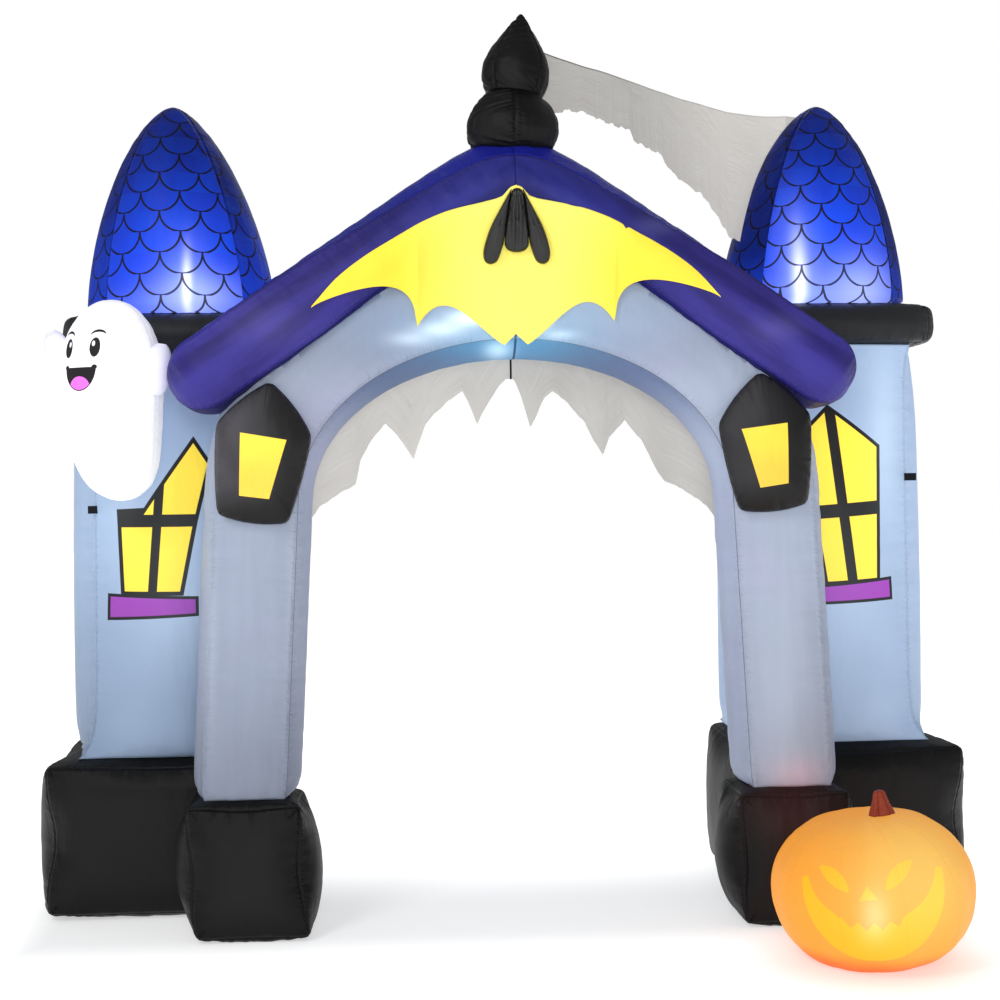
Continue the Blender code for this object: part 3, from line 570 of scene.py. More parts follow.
def leg_print(g, place, across, along):
    """Grey-blue cloth of the arch with painted light and shade: deeper by the left foot and shoulder and
    towards the crown, paler on the right.
    """
    x, _, z = g.split(place)
    left = g.spread(z, 0.42, 0.85, 0.78, 1.0) * g.spread(z, 1.10, 1.55, 1.0, 0.94)
    tone = g.spread(x, -0.55, 0.55).times_plus(1.16 - left, left)
    streak = g.noise(g.join(across * 26.0, along * 2.2), 1.0, 2.0)
    tone = tone * g.spread(z, 1.58, 1.74, 1.0, 0.80) * g.spread(streak, 0.25, 0.75, 0.98, 1.03)
    tint = g.spread(g.noise(place, 3.5, 2.0), 0.42, 0.80, 0.0, 0.6)
    cloth = g.scale(g.mix(tint, COLUMN_BLUE, srgb(150, 151, 177)), tone)
    joint = g.spread(abs(x), 0.0026, 0.0046, 0.85, 0.0)
    return g.mix(joint, cloth, srgb(44, 58, 104)), joint


def soffit_print(g, place, across, along):
    """The arch's inner face, which lies in shade under the crown."""
    colour, joint = leg_print(g, place, across, along)
    shade = g.mix(g.spread(g.split(place)[2], 1.40, 1.66), (1.02, 1.02, 1.04), (0.38, 0.46, 0.60))
    return g.vector("MULTIPLY", colour, shade), joint


def roof_print(g, place, across, along):
    """Indigo cloth with painted shade and light: navy near the peak and violet lower down, with soft painted
    highlight streaks along each arm.
    """
    x, y, z = g.split(place)
    off = abs(x)
    down, over = z.times_plus(-ROOF_SLOPE, off), off.times_plus(ROOF_SLOPE, z)
    streak = g.noise(g.join(down * 2.2, y, over * 16.0), 1.0, 3.0)
    colour = g.mix(g.spread(off, 0.10, 0.60), srgb(37, 39, 112), srgb(52, 46, 126))
    return g.scale(colour, g.spread(streak, 0.32, 0.70, 0.70, 1.30)), 0.0


def lantern_print(side):
    """The yellow pane of a lantern, narrower at its foot, and the painted grey sheen on its black cloth."""
    corners = ([(-0.802, 1.482), (-0.670, 1.459), (-0.722, 1.290), (-0.807, 1.301)] if side < 0 else
               [(0.652, 1.476), (0.787, 1.493), (0.787, 1.316), (0.704, 1.304)])
    reach = (-0.88, -0.66, 1.0, 0.10) if side < 0 else (0.66, 0.84, 0.40, 0.05)

    def draw(g, place, across, along):
        x, y, z = g.split(place)
        shown = g.inside(g.polygon(x, z, corners)) * g.math("LESS_THAN", y, FRONT_Y + 0.02)
        sheen = g.spread(g.noise(place, 9.0, 1.0), 0.30, 0.70, 0.75, 1.0)
        lit = g.spread(x, *reach) * g.spread(z, 1.24, 1.34)
        cloth = g.mix(lit * sheen, BLACK, srgb(72, 70, 75))
        pane = g.mix(g.spread(z, 1.30, 1.50, 0.85, 0.0), PANE, srgb(250, 200, 74))
        return g.mix(shown, cloth, pane), 1.0 - shown
    return draw


def turned(g, place, centre, turn, lean=(0.0, (0.0, 0.0))):
    """Across, up and out from a centre, for a face turned about the upright."""
    spot = g.vector("SUBTRACT", place, centre)
    turn = math.radians(turn)
    c, s = math.cos(turn), math.sin(turn)
    return [g.vector("DOT_PRODUCT", spot, way) for way in ((c, s, lean[0]), (*lean[1], 1), (s, -c, 0))]


def ghost_print(g, place, across, along):
    """A plain happy face: round eyes, short brows and an open smile with a pink tongue."""
    a, z, out = turned(g, place, (GHOST["x"], FRONT_Y + GHOST["depth"], GHOST["z"]), GHOST["turn"])
    a, z = a + 0.030, z + 0.035
    side = abs(a)
    eyes = g.ellipse(side, z, (0.050, 0.186), (0.017, 0.029))
    shine = g.ellipse(side, z, (0.045, 0.197), (0.005, 0.008))
    brow = (g.ellipse(side, z, (0.055, 0.222), (0.024, 0.017))
            & g.ellipse(side, z, (0.056, 0.214), (0.027, 0.017)) * -1.0)
    mouth = g.ellipse(a, z, (0.0, 0.128), (0.058, 0.070)) & (z - 0.128)
    mouth = mouth | g.ellipse(side, z, (0.052, 0.128), (0.009, 0.007))
    tongue = g.ellipse(a, z, (0.0, 0.070), (0.037, 0.031)) & (mouth + 0.003)
    front = g.math("GREATER_THAN", out, 0.02)
    inked = g.inside(eyes | brow | mouth) * front
    colour = g.mix(inked, srgb(250, 250, 252), srgb(36, 34, 36))
    colour = g.mix(g.inside(shine, 0.0005) * front, colour, srgb(245, 245, 248))
    return g.mix(g.inside(tongue) * front, colour, srgb(236, 112, 226)), inked


def pumpkin_print(g, place, across, along):
    """A traditional carved grin and eyes in yellow on the orange skin."""
    centre = (PUMPKIN["x"], FRONT_Y - PUMPKIN_REACH + PUMPKIN["deep"], 0.204)
    a, z, out = turned(g, place, centre, PUMPKIN["face_turn"], (0.11, (-0.11, 0.034)))
    side, b = abs(a), a + -0.012
    teeth = g.math("PINGPONG", a + 1.0, 0.021) * g.spread(side, 0.075, 0.095, 1.0, 0.0)
    outer = g.ellipse(b, z, (0.0, 0.044), (0.186, 0.194))
    inner = g.ellipse(b, z + teeth, (0.0, 0.090), (0.168, 0.128))
    ends = [(0.0, 0.052), (0.150, 0.084), (0.200, 0.072), (0.30, 0.0), (0.20, -0.3), (-0.1, -0.3)]
    grin = (outer & inner * -1.0) & g.polygon(abs(b), z, ends)
    eyes = (g.ellipse(side, z, (0.109, 0.047), (0.060, 0.060))
            & g.ellipse(side, z, (0.034, 0.138), (0.095, 0.095)))
    nose = g.polygon(a, z, [(-0.024, 0.022), (0.000, 0.058), (0.024, 0.022)])
    front = g.math("GREATER_THAN", out, 0.05)
    skin = g.mix(g.spread(g.split(place)[2], 0.0, 0.075), srgb(212, 84, 22), srgb(206, 132, 44))
    pale = g.spread(a, -0.01, 0.02) * g.spread(z, -0.02, 0.16)
    skin = g.mix(pale * 0.5, skin, srgb(208, 140, 60))
    return g.mix(g.inside(grin | eyes | nose, 0.0015) * front, skin, srgb(212, 150, 22)), 0.0


# ---------------------------------------------------------------- camera, light and floor
def look():
    """The photograph's camera, a white room and soft studio light."""
    scene = bpy.context.scene
    scene.view_settings.view_transform = "Standard"
    yaw, pitch, roll = (math.radians(a) for a in (CAMERA_YAW, CAMERA_PITCH, CAMERA_ROLL))
    ahead = Vector((math.sin(yaw) * math.cos(pitch), math.cos(yaw) * math.cos(pitch), math.sin(pitch)))
    level = Vector((math.cos(yaw), -math.sin(yaw), 0))
    upright = level.cross(ahead)
    right = level * math.cos(roll) - upright * math.sin(roll)
    up = level * math.sin(roll) + upright * math.cos(roll)
    data = bpy.data.cameras.new("camera")
    data.lens, data.sensor_width = CAMERA_LENS, 36
    camera = bpy.data.objects.new("camera", data)
    camera.matrix_world = Matrix.Translation(CAMERA_PLACE) @ Matrix((right, up, -ahead)).transposed().to_4x4()
    scene.collection.objects.link(camera)
    scene.camera = camera

    world = bpy.data.worlds.new("studio")
    world.use_nodes = True
    tree = world.node_tree
    seen, light = tree.nodes["Background"], tree.nodes.new("ShaderNodeBackground")
    seen.inputs["Color"].default_value = (1, 1, 1, 1)
    light.inputs["Color"].default_value = (0.96, 0.98, 1.0, 1)
    light.inputs["Strength"].default_value = 0.36
    blend = tree.nodes.new("ShaderNodeMixShader")
    camera_ray = tree.nodes.new("ShaderNodeLightPath").outputs["Is Camera Ray"]
    for source, socket in zip((camera_ray, light.outputs[0], seen.outputs[0]), blend.inputs):
        tree.links.new(source, socket)
    tree.links.new(blend.outputs[0], tree.nodes["World Output"].inputs["Surface"])
    scene.world = world
    for name, spot, size, power in (("key", (-3.2, -4.2, 4.6), 2.2, 110),
                                    ("front", (-0.3, -5.6, 2.3), 1.3, 62),
                                    ("back", (0.6, 4.2, 4.2), 3.0, 20)):
        lamp = bpy.data.lights.new(name, "AREA")
        lamp.shape, lamp.size, lamp.energy = "DISK", size, power
        thing = bpy.data.objects.new(name, lamp)
        aim = Vector((0, 0, 1.2)) - Vector(spot)
        thing.matrix_world = Matrix.Translation(spot) @ aim.to_track_quat("-Z", "Y").to_matrix().to_4x4()
        scene.collection.objects.link(thing)


def floor():
    """A plain pale floor with painted shade that leaves it a little grey under the arch, and a painted warm
    pool where the pumpkin lights it.
    """
    mesh = bpy.data.meshes.new("floor")
    bm = bmesh.new()
    bmesh.ops.create_grid(bm, x_segments=8, y_segments=8, size=30)
    bm.to_mesh(mesh)
    bm.free()
    g = Graph("floor_white", 0.9, 0.05)
    place = g.place()
    x, y, _ = g.split(place)
    # painted shade: the floor's glow is lower under and around the arch and rises to white away from it
    bright = g.spread(y, -0.50, -0.10, 0.86, 0.52) & g.spread(y, 0.20, 0.95, 0.52, 0.90)
    away = g.spread(g.vector("LENGTH", place), 1.3, 3.0, 0.50, 1.0)
    away = away & g.spread(x, 1.12, 1.40, 0.50, 1.0) & g.spread(x, -1.62, -1.36, 0.90, 0.50)
    warm = g.vector("LENGTH", g.vector("SUBTRACT", place, (0.925, -0.57, 0.0)))
    tint = g.mix(g.spread(warm, 0.16, 0.46, 0.62, 0.0), WHITE, (1.0, 0.30, 0.28))
    grain = g.mix(g.noise(place, 3.0), (0.63, 0.63, 0.63), (0.65, 0.65, 0.65))
    ground = finished(mesh, g.finish(Base_Color=grain, Emission_Color=g.scale(tint, bright & away),
                                     Emission_Strength=1.0))
    ground.location.z = -0.001


# ---------------------------------------------------------------- skins along a path
def path_skin(side, x, z, heading, half, swell, half_depth, face_swell, middle, count):
    """Rings of a blown-up box section along a path in the front plane."""
    u, v = square_section(count)
    u, v = u[None, :], v[None, :]
    cols = [np.broadcast_to(np.asarray(a, float), x.shape)[:, None]
            for a in (half, swell, half_depth, face_swell)]
    across = u * (cols[0] + cols[1] * (1 - v * v))
    depth = v * (cols[2] + cols[3] * (1 - u * u))
    px = x[:, None] - np.sin(heading)[:, None] * across
    pz = z[:, None] + np.cos(heading)[:, None] * across
    px = np.maximum(px, SEAM_GAP)
    return np.stack((side * px, FRONT_Y + middle + depth, pz), axis=-1)


def arch_skin(side):
    crown = math.pi / 2 * (1 - np.arange(200) / 200)
    grow = np.sin(crown) ** 2
    leg = np.linspace(0, 1, 150)
    foot_z = FRONT_BASE["height"] + GAP
    splay = math.atan2(FOOT_X - SPRING_X, SPRING_Z - foot_z)
    x = np.concatenate((SPRING_X * np.cos(crown), SPRING_X + (FOOT_X - SPRING_X) * leg))
    z = np.concatenate((SPRING_Z + CROWN_RISE * np.sin(crown), SPRING_Z + (foot_z - SPRING_Z) * leg))
    bend = np.clip(leg * 3.2, 0, 1)
    settle = np.clip((1 - leg) * 9, 0, 1)
    heading = np.concatenate((np.arctan2(-CROWN_RISE * np.cos(crown), SPRING_X * np.sin(crown)),
                              -math.pi / 2 + splay * bend * settle))
    full = 0.22 + 0.78 * np.sqrt(1 - np.clip((leg - 0.92) / 0.08, 0, 1) ** 2)
    drawn = 1 - 0.03 * np.clip((leg - 0.94) / 0.06, 0, 1) ** 2
    half = np.concatenate((LEG_HALF + (CROWN_HALF - LEG_HALF) * grow, LEG_HALF * drawn))
    swell = np.concatenate((LEG_SWELL + (CROWN_SWELL - LEG_SWELL) * grow, LEG_SWELL * full))
    face = ARCH_FACE_SWELL * np.minimum(1, swell / LEG_SWELL)
    return path_skin(side, x, z, heading, half, swell, (ARCH_BACK - ARCH_FRONT) / 2, face,
                     (ARCH_FRONT + ARCH_BACK) / 2, 20)


def roof_skin(side):
    x = ROOF_END_X * np.linspace(0, 1, 170)
    reach = np.hypot(x, ROOF_ROUND)
    z = ROOF_TOP - ROOF_SLOPE * reach
    heading = np.arctan(-ROOF_SLOPE * x / reach)
    turn = np.radians(np.linspace(3, 86, 28))
    full = ROOF_HALF + ROOF_SWELL
    x = np.concatenate((x, x[-1] + math.cos(heading[-1]) * full * np.sin(turn)))
    z = np.concatenate((z, z[-1] + math.sin(heading[-1]) * full * np.sin(turn)))
    keep = np.concatenate((np.ones(170), np.cos(turn)))
    heading = np.concatenate((heading, np.full(28, heading[-1])))
    rounder = -0.022 + 0.052 * np.clip(1 - x / 0.62, 0, 1)
    lower = 0.024 * np.exp(-(x / 0.22) ** 2)  # the inner seam dips behind the bat
    return path_skin(side, x, z - lower, heading, (ROOF_HALF - rounder + lower) * keep,
                     (ROOF_SWELL + rounder) * keep,
                     ((ROOF_BACK - ROOF_FRONT) / 2 - 0.014) * (0.35 + 0.65 * keep),
                     (ROOF_FACE_SWELL + 0.014) * keep, (ROOF_FRONT + ROOF_BACK) / 2, 20)


TOWER_ROWS = ((0.00, 0.284, 0.006), (0.012, 0.274, 0.032), (0.035, 0.256, 0.066), (0.08, 0.242, 0.090),
              (0.18, 0.235, 0.100), (0.40, 0.233, 0.102), (0.60, 0.231, 0.100), (0.78, 0.230, 0.096),
              (0.90, 0.231, 0.084), (0.96, 0.238, 0.062), (1.00, 0.246, 0.034))


def upright_skin(x, z, half, swell, count):
    """Rings of a blown-up square section stacked upwards round a tower's middle."""
    u, v = square_section(count)
    half, swell = half[:, None], swell[:, None]
    across = u * (half + swell * (1 - v * v))
    depth = v * (half + swell * (1 - u * u))
    return np.stack((x[:, None] + across, FRONT_Y + TOWER_DEPTH + depth,
                     np.broadcast_to(z[:, None], across.shape)), axis=-1)


def tower_skin(side):
    share = np.linspace(0, 1, 170)
    foot = REAR_BASE["height"] + GAP
    tall = TOWER_TOP + LIFT[side] - foot
    return upright_skin(np.full(170, side * TOWER_X + SHIFT[side]), foot + tall * share,
                        smooth_rows(TOWER_ROWS, share), smooth_rows(TOWER_ROWS, share, 2), 24)


def cone_height(side):
    return CONE["height"] - LIFT[side] * 0.7


def cone_skin(side):
    rise = np.concatenate((np.linspace(0, 0.93, 96), 1 - 0.07 * np.geomspace(0.9, 0.02, 18)))
    half = CONE["half"] * (1 - rise ** 1.6) ** 0.62
    swell = CONE["swell"] * half * (0.55 + 0.45 * np.clip(rise / 0.03, 0, 1))
    x = side * (CONE["x"] + CONE["lean"] * rise)
    return upright_skin(x, BAND["top"] + LIFT[side] + GAP + cone_height(side) * rise, half, swell, 24)


# ---------------------------------------------------------------- blown-up boxes
def box_piece(node, low, high, swell, pinch, squareness, cells, limits, seed, material, skew=0.0):
    """A sewn box blown up: each panel swells in its middle, with gathers along its twelve seams."""
    bm = bmesh.new()
    bmesh.ops.create_cube(bm, size=2)
    for axis in range(3):
        edges = [e for e in bm.edges if abs(e.verts[0].co[axis] - e.verts[1].co[axis]) > 1.9]
        bmesh.ops.subdivide_edges(bm, edges=edges, cuts=cells[axis] - 1, use_grid_fill=True)
    mesh = bpy.data.meshes.new(node + "_skin")
    bm.to_mesh(mesh)
    bm.free()
    unit = read(mesh.vertices, "co").astype(float)
    unit = np.sign(unit) * (1 - (1 - np.minimum(np.abs(unit), 1)) ** 1.45)
    cornered = np.abs(unit).min(axis=1, keepdims=True) ** 2.5
    upright, foot, top, sharp = squareness
    edge = (upright + (foot - upright) * np.maximum(0, -unit[:, 2:]) ** 3
            + (top - upright) * np.maximum(0, unit[:, 2:]) ** 3)
    power = edge + (sharp - edge) * cornered
    rounded = unit / (np.abs(unit) ** power).sum(axis=1, keepdims=True) ** (1 / power)
    low, high = np.array(low), np.array(high)
    middle, half = (low + high) / 2, (high - low) / 2
    spots = np.empty_like(unit)
    for axis in range(3):
        other, third = unit[:, (axis + 1) % 3], unit[:, (axis + 2) % 3]
        drawn = 1 - pinch * (other * third) ** 2
        blown = swell[axis] * (1 - other ** 2) * (1 - third ** 2)
        spots[:, axis] = middle[axis] + rounded[:, axis] * (half[axis] * drawn + blown)
    spots[:, 0] += skew * np.clip((high[2] - spots[:, 2]) / (high[2] - low[2]), 0, 1) ** 3
    mesh.vertices.foreach_set("co", spots.ravel())
    mesh.update()
    inset = (1 - np.abs(unit)) * half
    order = np.argsort(inset, axis=1)
    rows = np.arange(len(unit))
    distance = inset[rows, order[:, 1]]
    runs_along = order[:, 2]
    along = spots[rows, runs_along]
    second, third = (unit[rows, (runs_along + k) % 3] > 0 for k in (1, 2))
    code = runs_along * 4 + second * 2 + third
    push = 0.0015 * np.exp(-(distance / 0.003) ** 2)
    for k in range(12):
        mine = code == k
        s, d = along[mine], distance[mine]
        spread = 0.020 * (0.6 + 0.9 * ripple(s, seed + 80 + k, 0.035, 0.120))
        push[mine] += 0.0026 * ripple(s, seed + k) * hump(d, spread)
        push[mine] += 0.0018 * ripple(s, seed + 40 + k, 0.07, 0.24) * hump(d, 0.06)
    spots -= read(mesh.vertex_normals, "vector") * push[:, None]
    for axis, (least, most) in limits.items():
        spots[:, axis] = np.clip(spots[:, axis], least, most)
    mesh.vertices.foreach_set("co", spots.ravel())
    corner = corner_vertices(mesh)
    face_axis = np.repeat(np.array([int(np.argmax(np.abs(p.normal))) for p in mesh.polygons]), 4)
    set_uv(mesh, "cloth", np.stack([spots[corner, (face_axis + k) % 3] for k in (1, 2)], axis=1))
    set_uv(mesh, "seam", np.stack((distance[corner], along[corner]), axis=1))
    return stands_for(finished(mesh, material), "base_black", node)


def base_piece(node, side, spec, seams, limits, seed, material):
    middle, half = side * spec["x"], spec["width"] / 2
    if spec is REAR_BASE:
        middle += SHIFT[side]
    low = (middle - half, FRONT_Y + seams[0], BASE_EASE)
    high = (middle + half, FRONT_Y + seams[1], spec["height"] - BASE_EASE)
    pressed = {1: tuple(FRONT_Y + limit for limit in limits), 2: (0, spec["height"])}
    return box_piece(node, low, high, (spec["swell"], spec["end_swell"], BASE_TOP_SWELL), spec["pinch"],
                     (5.5, 12, 7, 26), (44, 44, 44), pressed, seed, material,
                     skew=SKEW[side] if spec is FRONT_BASE else 0.0)


def band_piece(node, side, seed, material):
    middle, (wide, deep) = side * BAND["x"], BAND["half"]
    under, top = TOWER_TOP + LIFT[side] + GAP, BAND["top"] + LIFT[side]
    low = (middle - wide, FRONT_Y + TOWER_DEPTH - deep, under - 0.001)
    high = (middle + wide, FRONT_Y + TOWER_DEPTH + deep, top + 0.001)
    return box_piece(node, low, high, (*BAND["swell"], 0.012), 0.02, (8, 8, 8, 8), (48, 48, 20),
                     {2: (under, top)}, seed, material)


# ---------------------------------------------------------------- turned and padded pieces
def gore_shares(gores, count):
    """Shares round a turned form, closer together near its seams."""
    return np.concatenate([(k + (panel_steps(count) + 1) / 2) / gores for k in range(gores)])


def gore_skin(profile, gores, count, centre, tilt=0.0, pinch=0.03, start=0.5):
    """A turned form sewn from gores: (radius, height) rows, drawn in a little at each seam."""
    rows = [(share, *row) for share, row in zip(np.linspace(0, 1, len(profile)), profile)]
    radius, height = (smooth_rows(rows, np.linspace(0, 1, 90), column) for column in (1, 2))
    t = gore_shares(gores, count)
    turn = 2 * np.pi * (t + start / gores) - np.pi / 2
    inside = 1 - pinch * (np.abs(np.mod(t * gores, 1.0) * 2 - 1)) ** 6
    r = radius[:, None] * inside
    x, y = r * np.cos(turn), r * np.sin(turn)
    z = np.broadcast_to(height[:, None], x.shape)
    c, s = math.cos(tilt), math.sin(tilt)
    return np.stack((centre[0] + c * x + s * z, centre[1] + y, centre[2] - s * x + c * z), axis=-1)


def pillow_skin(outline, thick, centre, turn, full=0.62, rings=26):
    """Front and back of a flat pillow in the XZ plane, from its seam outline round the middle."""
    outline = np.array(outline)
    share = 1 - (np.linspace(1, 0, rings + 1)[:-1]) ** 2.0
    share = np.concatenate((share[1:], [1.0]))
    high = np.maximum(1 - share ** 2.4, 0) ** full
    share, high = (np.concatenate((a, b[::-1][1:]))[:, None] for a, b in ((share, share), (-high, high)))
    c, s = math.cos(turn), math.sin(turn)
    x, z = outline[:, 0] * share, outline[:, 1] * share
    y = np.broadcast_to(centre[1] + high * thick / 2, x.shape)
    return np.stack((centre[0] + c * x + s * z, y, centre[2] - s * x + c * z), axis=-1), rings


def rim_pucker(skin, rim, seed, depth=0.004, reach=0.022):
    """Gathers that run in from a pillow's rim seam."""
    normals = outward(skin)
    edge = skin[rim - 1]
    run = np.linalg.norm(np.roll(edge, -1, 0) - edge, axis=1).cumsum()
    away = np.linalg.norm(skin - edge[None], axis=2)
    spread = reach * (0.5 + ripple(run, seed + 3, 0.040, 0.140))[None, :]
    push = depth * ripple(run, seed, 0.014, 0.060)[None, :] * hump(away, spread)
    ring = np.arange(len(skin))
    push *= np.clip((np.minimum(ring, len(skin) - 1 - ring) - 2) / 9, 0, 1)[:, None]
    return skin - normals * push[:, :, None]


def pillow(node, skin, rim, material, neighbours=()):
    """The padded piece that stands for a node: a pillow whose one seam is its rim."""
    mesh = ring_mesh(node + "_skin", skin, 1)
    edge = np.linalg.norm(skin - skin[rim - 1][None], axis=2)
    run = np.linalg.norm(np.roll(skin[rim - 1], -1, 0) - skin[rim - 1], axis=1).cumsum()
    seam = np.stack((edge, np.broadcast_to(run[None], edge.shape)), axis=-1).reshape(-1, 2)
    corner = corner_vertices(mesh)
    set_uv(mesh, "seam", np.concatenate((seam, [(1, 0), (1, 0)]))[corner])
    spots = np.concatenate((skin.reshape(-1, 3), skin[:1].mean(axis=1), skin[-1:].mean(axis=1)))
    set_uv(mesh, "cloth", spots[corner][:, ::2])
    piece = stands_for(cut(finished(mesh, material), *neighbours), "base_black", node)
    return piece


def rounded_outline(corners, per_side, bulge, round_steps=14):
    """A closed outline whose sides bow out a little between corners that are worn round."""
    points = []
    for (x0, z0), (x1, z1), out in zip(corners, corners[1:] + corners[:1], bulge):
        length = math.hypot(x1 - x0, z1 - z0)
        nx, nz = (z0 - z1) / length, (x1 - x0) / length
        for t in np.linspace(0, 1, per_side + 1)[:-1]:
            bow = out * 4 * t * (1 - t)
            points.append((x0 + (x1 - x0) * t + nx * bow, z0 + (z1 - z0) * t + nz * bow))
    points = np.array(points)
    for _ in range(round_steps):
        points = (np.roll(points, 1, 0) + 2 * points + np.roll(points, -1, 0)) / 4
    return points


# ---------------------------------------------------------------- cloth sheets
def cloth_sheet(name, points, thick, material):
    """A thin closed sheet from a grid of points, with the cloth's own measures as UV."""
    rows, count = points.shape[:2]
    normals = grid_normals(points, False)
    front, back = points + normals * thick / 2, points - normals * thick / 2
    row, col = np.meshgrid(np.arange(rows - 1), np.arange(count - 1), indexing="ij")
    quads = np.stack((row * count + col, row * count + col + 1, (row + 1) * count + col + 1,
                      (row + 1) * count + col), axis=-1).reshape(-1, 4)
    shift = rows * count
    faces = quads.tolist() + (quads[:, ::-1] + shift).tolist()
    border = [r * count for r in range(rows)] + [(rows - 1) * count + c for c in range(1, count)]
    border += [r * count + count - 1 for r in range(rows - 2, -1, -1)] + list(range(count - 2, 0, -1))
    faces += [(a, b, b + shift, a + shift) for a, b in zip(border, border[1:] + border[:1])]
    mesh = bpy.data.meshes.new(name)
    mesh.from_pydata(np.concatenate((front.reshape(-1, 3), back.reshape(-1, 3))).tolist(), [], faces)
    bm = bmesh.new()
    bm.from_mesh(mesh)
    bmesh.ops.recalc_face_normals(bm, faces=bm.faces)
    bm.to_mesh(mesh)
    bm.free()
    u, v = run_along(points, 0), run_along(points, 1)
    edge = np.minimum(v, v[:, -1:] - v)
    corner = corner_vertices(mesh) % shift
    set_uv(mesh, "cloth", np.stack((u.ravel(), v.ravel()), axis=1)[corner])
    set_uv(mesh, "seam", np.stack((edge.ravel(), u.ravel()), axis=1)[corner])
    return finished(mesh, material)


def sheet_area(points):
    """Area of a grid of points, for the cut cloth's flat size."""
    a = points[1:, :-1] - points[:-1, :-1]
    b = points[:-1, 1:] - points[:-1, :-1]
    c = points[1:, 1:] - points[1:, :-1]
    d = points[1:, 1:] - points[:-1, 1:]
    area = np.linalg.norm(np.cross(a, b), axis=2) + np.linalg.norm(np.cross(c, d), axis=2)
    return float(area.sum() / 2)


BAT_UPPER = ((0.000, 2.189), (0.014, 2.184), (0.042, 2.158), (0.100, 2.142), (0.185, 2.122),
             (0.265, 2.092), (0.350, 2.046), (0.440, 1.993), (0.520, 1.933), (0.594, 1.852))
# arcs between the tips of the bat's lower edge: (tip across, height, arc's rise, arc's lean)
BAT_TIPS = ((0.000, 1.764, 0.0, 1.0), (0.034, 1.732, 0.0, 1.0), (0.292, 1.783, 0.086, 1.55),
            (0.594, 1.849, 0.108, 0.46))
BAT_TILT = 0.019
VALANCE_LOWER = {
    "left": ((0.004, 1.645), (0.016, 1.645), (0.040, 1.620), (0.065, 1.583), (0.090, 1.541), (0.105, 1.508),
             (0.127, 1.563), (0.149, 1.612), (0.189, 1.583), (0.239, 1.538), (0.264, 1.509), (0.289, 1.441),
             (0.301, 1.404), (0.314, 1.425), (0.339, 1.464), (0.385, 1.515), (0.413, 1.483), (0.438, 1.448),
             (0.463, 1.400), (0.478, 1.329), (0.537, 1.297), (0.587, 1.262), (0.625, 1.215)),
    "right": ((0.004, 1.645), (0.012, 1.638), (0.028, 1.604), (0.044, 1.548), (0.059, 1.498), (0.078, 1.535),
              (0.102, 1.588), (0.127, 1.608), (0.177, 1.568), (0.227, 1.509), (0.252, 1.456), (0.280, 1.408),
              (0.301, 1.466), (0.351, 1.515), (0.401, 1.453), (0.450, 1.354), (0.475, 1.324), (0.525, 1.304),
              (0.575, 1.268), (0.600, 1.250), (0.625, 1.215))}
GAUZE_ROWS = ((-0.02, 2.638, 2.440), (0.08, 2.618, 2.446), (0.15, 2.608, 2.458), (0.21, 2.600, 2.456),
              (0.25, 2.597, 2.440), (0.36, 2.581, 2.418), (0.38, 2.578, 2.390), (0.48, 2.562, 2.354),
              (0.505, 2.559, 2.322), (0.535, 2.554, 2.304), (0.56, 2.550, 2.282), (0.65, 2.542, 2.243),
              (0.68, 2.538, 2.214), (0.72, 2.534, 2.170), (0.77, 2.530, 2.118), (0.88, 2.532, 2.090),
              (1.00, 2.536, 2.070), (1.07, 2.538, 2.060))


def bat_lower(x):
    """Height of the bat's lower edge: an arc between each pair of tips."""
    height = np.full_like(x, BAT_TIPS[-1][1])
    for (x0, z0, _, _), (x1, z1, rise, lean) in zip(BAT_TIPS, BAT_TIPS[1:]):
        t = np.clip((x - x0) / (x1 - x0), 0, 1)
        arc = z0 + (z1 - z0) * t + rise * np.sin(np.pi * t ** lean) ** 0.8
        height = np.where((x >= x0) & (x <= x1), arc, height)
    return height


def stretched_over(pieces, points, clear):
    """Lay a flat grid on the front of some pieces as a taut sheet held along its top."""
    trees = [BVHTree.FromObject(piece, bpy.context.evaluated_depsgraph_get()) for piece in pieces]
    rows, count = points.shape[:2]
    wall = np.full((rows, count), FRONT_Y + ROOF_BACK)
    for i in range(rows):
        for j in range(count):
            start = Vector((points[i, j, 0], -1.0, points[i, j, 2]))
            for tree in trees:
                hit = tree.ray_cast(start, Vector((0, 1, 0)))[0]
                if hit:
                    wall[i, j] = min(wall[i, j], hit.y)
    padded = np.pad(wall, 1, mode="edge")
    wall = np.min([padded[a:a + rows, b:b + count] for a in range(3) for b in range(3)], axis=0) - clear
    depth = wall.copy()
    for _ in range(400):
        around = np.pad(depth, 1, mode="edge")
        mean = (around[:-2, 1:-1] + around[2:, 1:-1] + around[1:-1, :-2] + around[1:-1, 2:]) / 4
        free = np.minimum(wall, mean)
        free[:, -1] = wall[:, -1]
        free[0], free[-1] = wall[0], wall[-1]
        depth = free
    laid = points.copy()
    laid[:, :, 1] = depth
    return laid


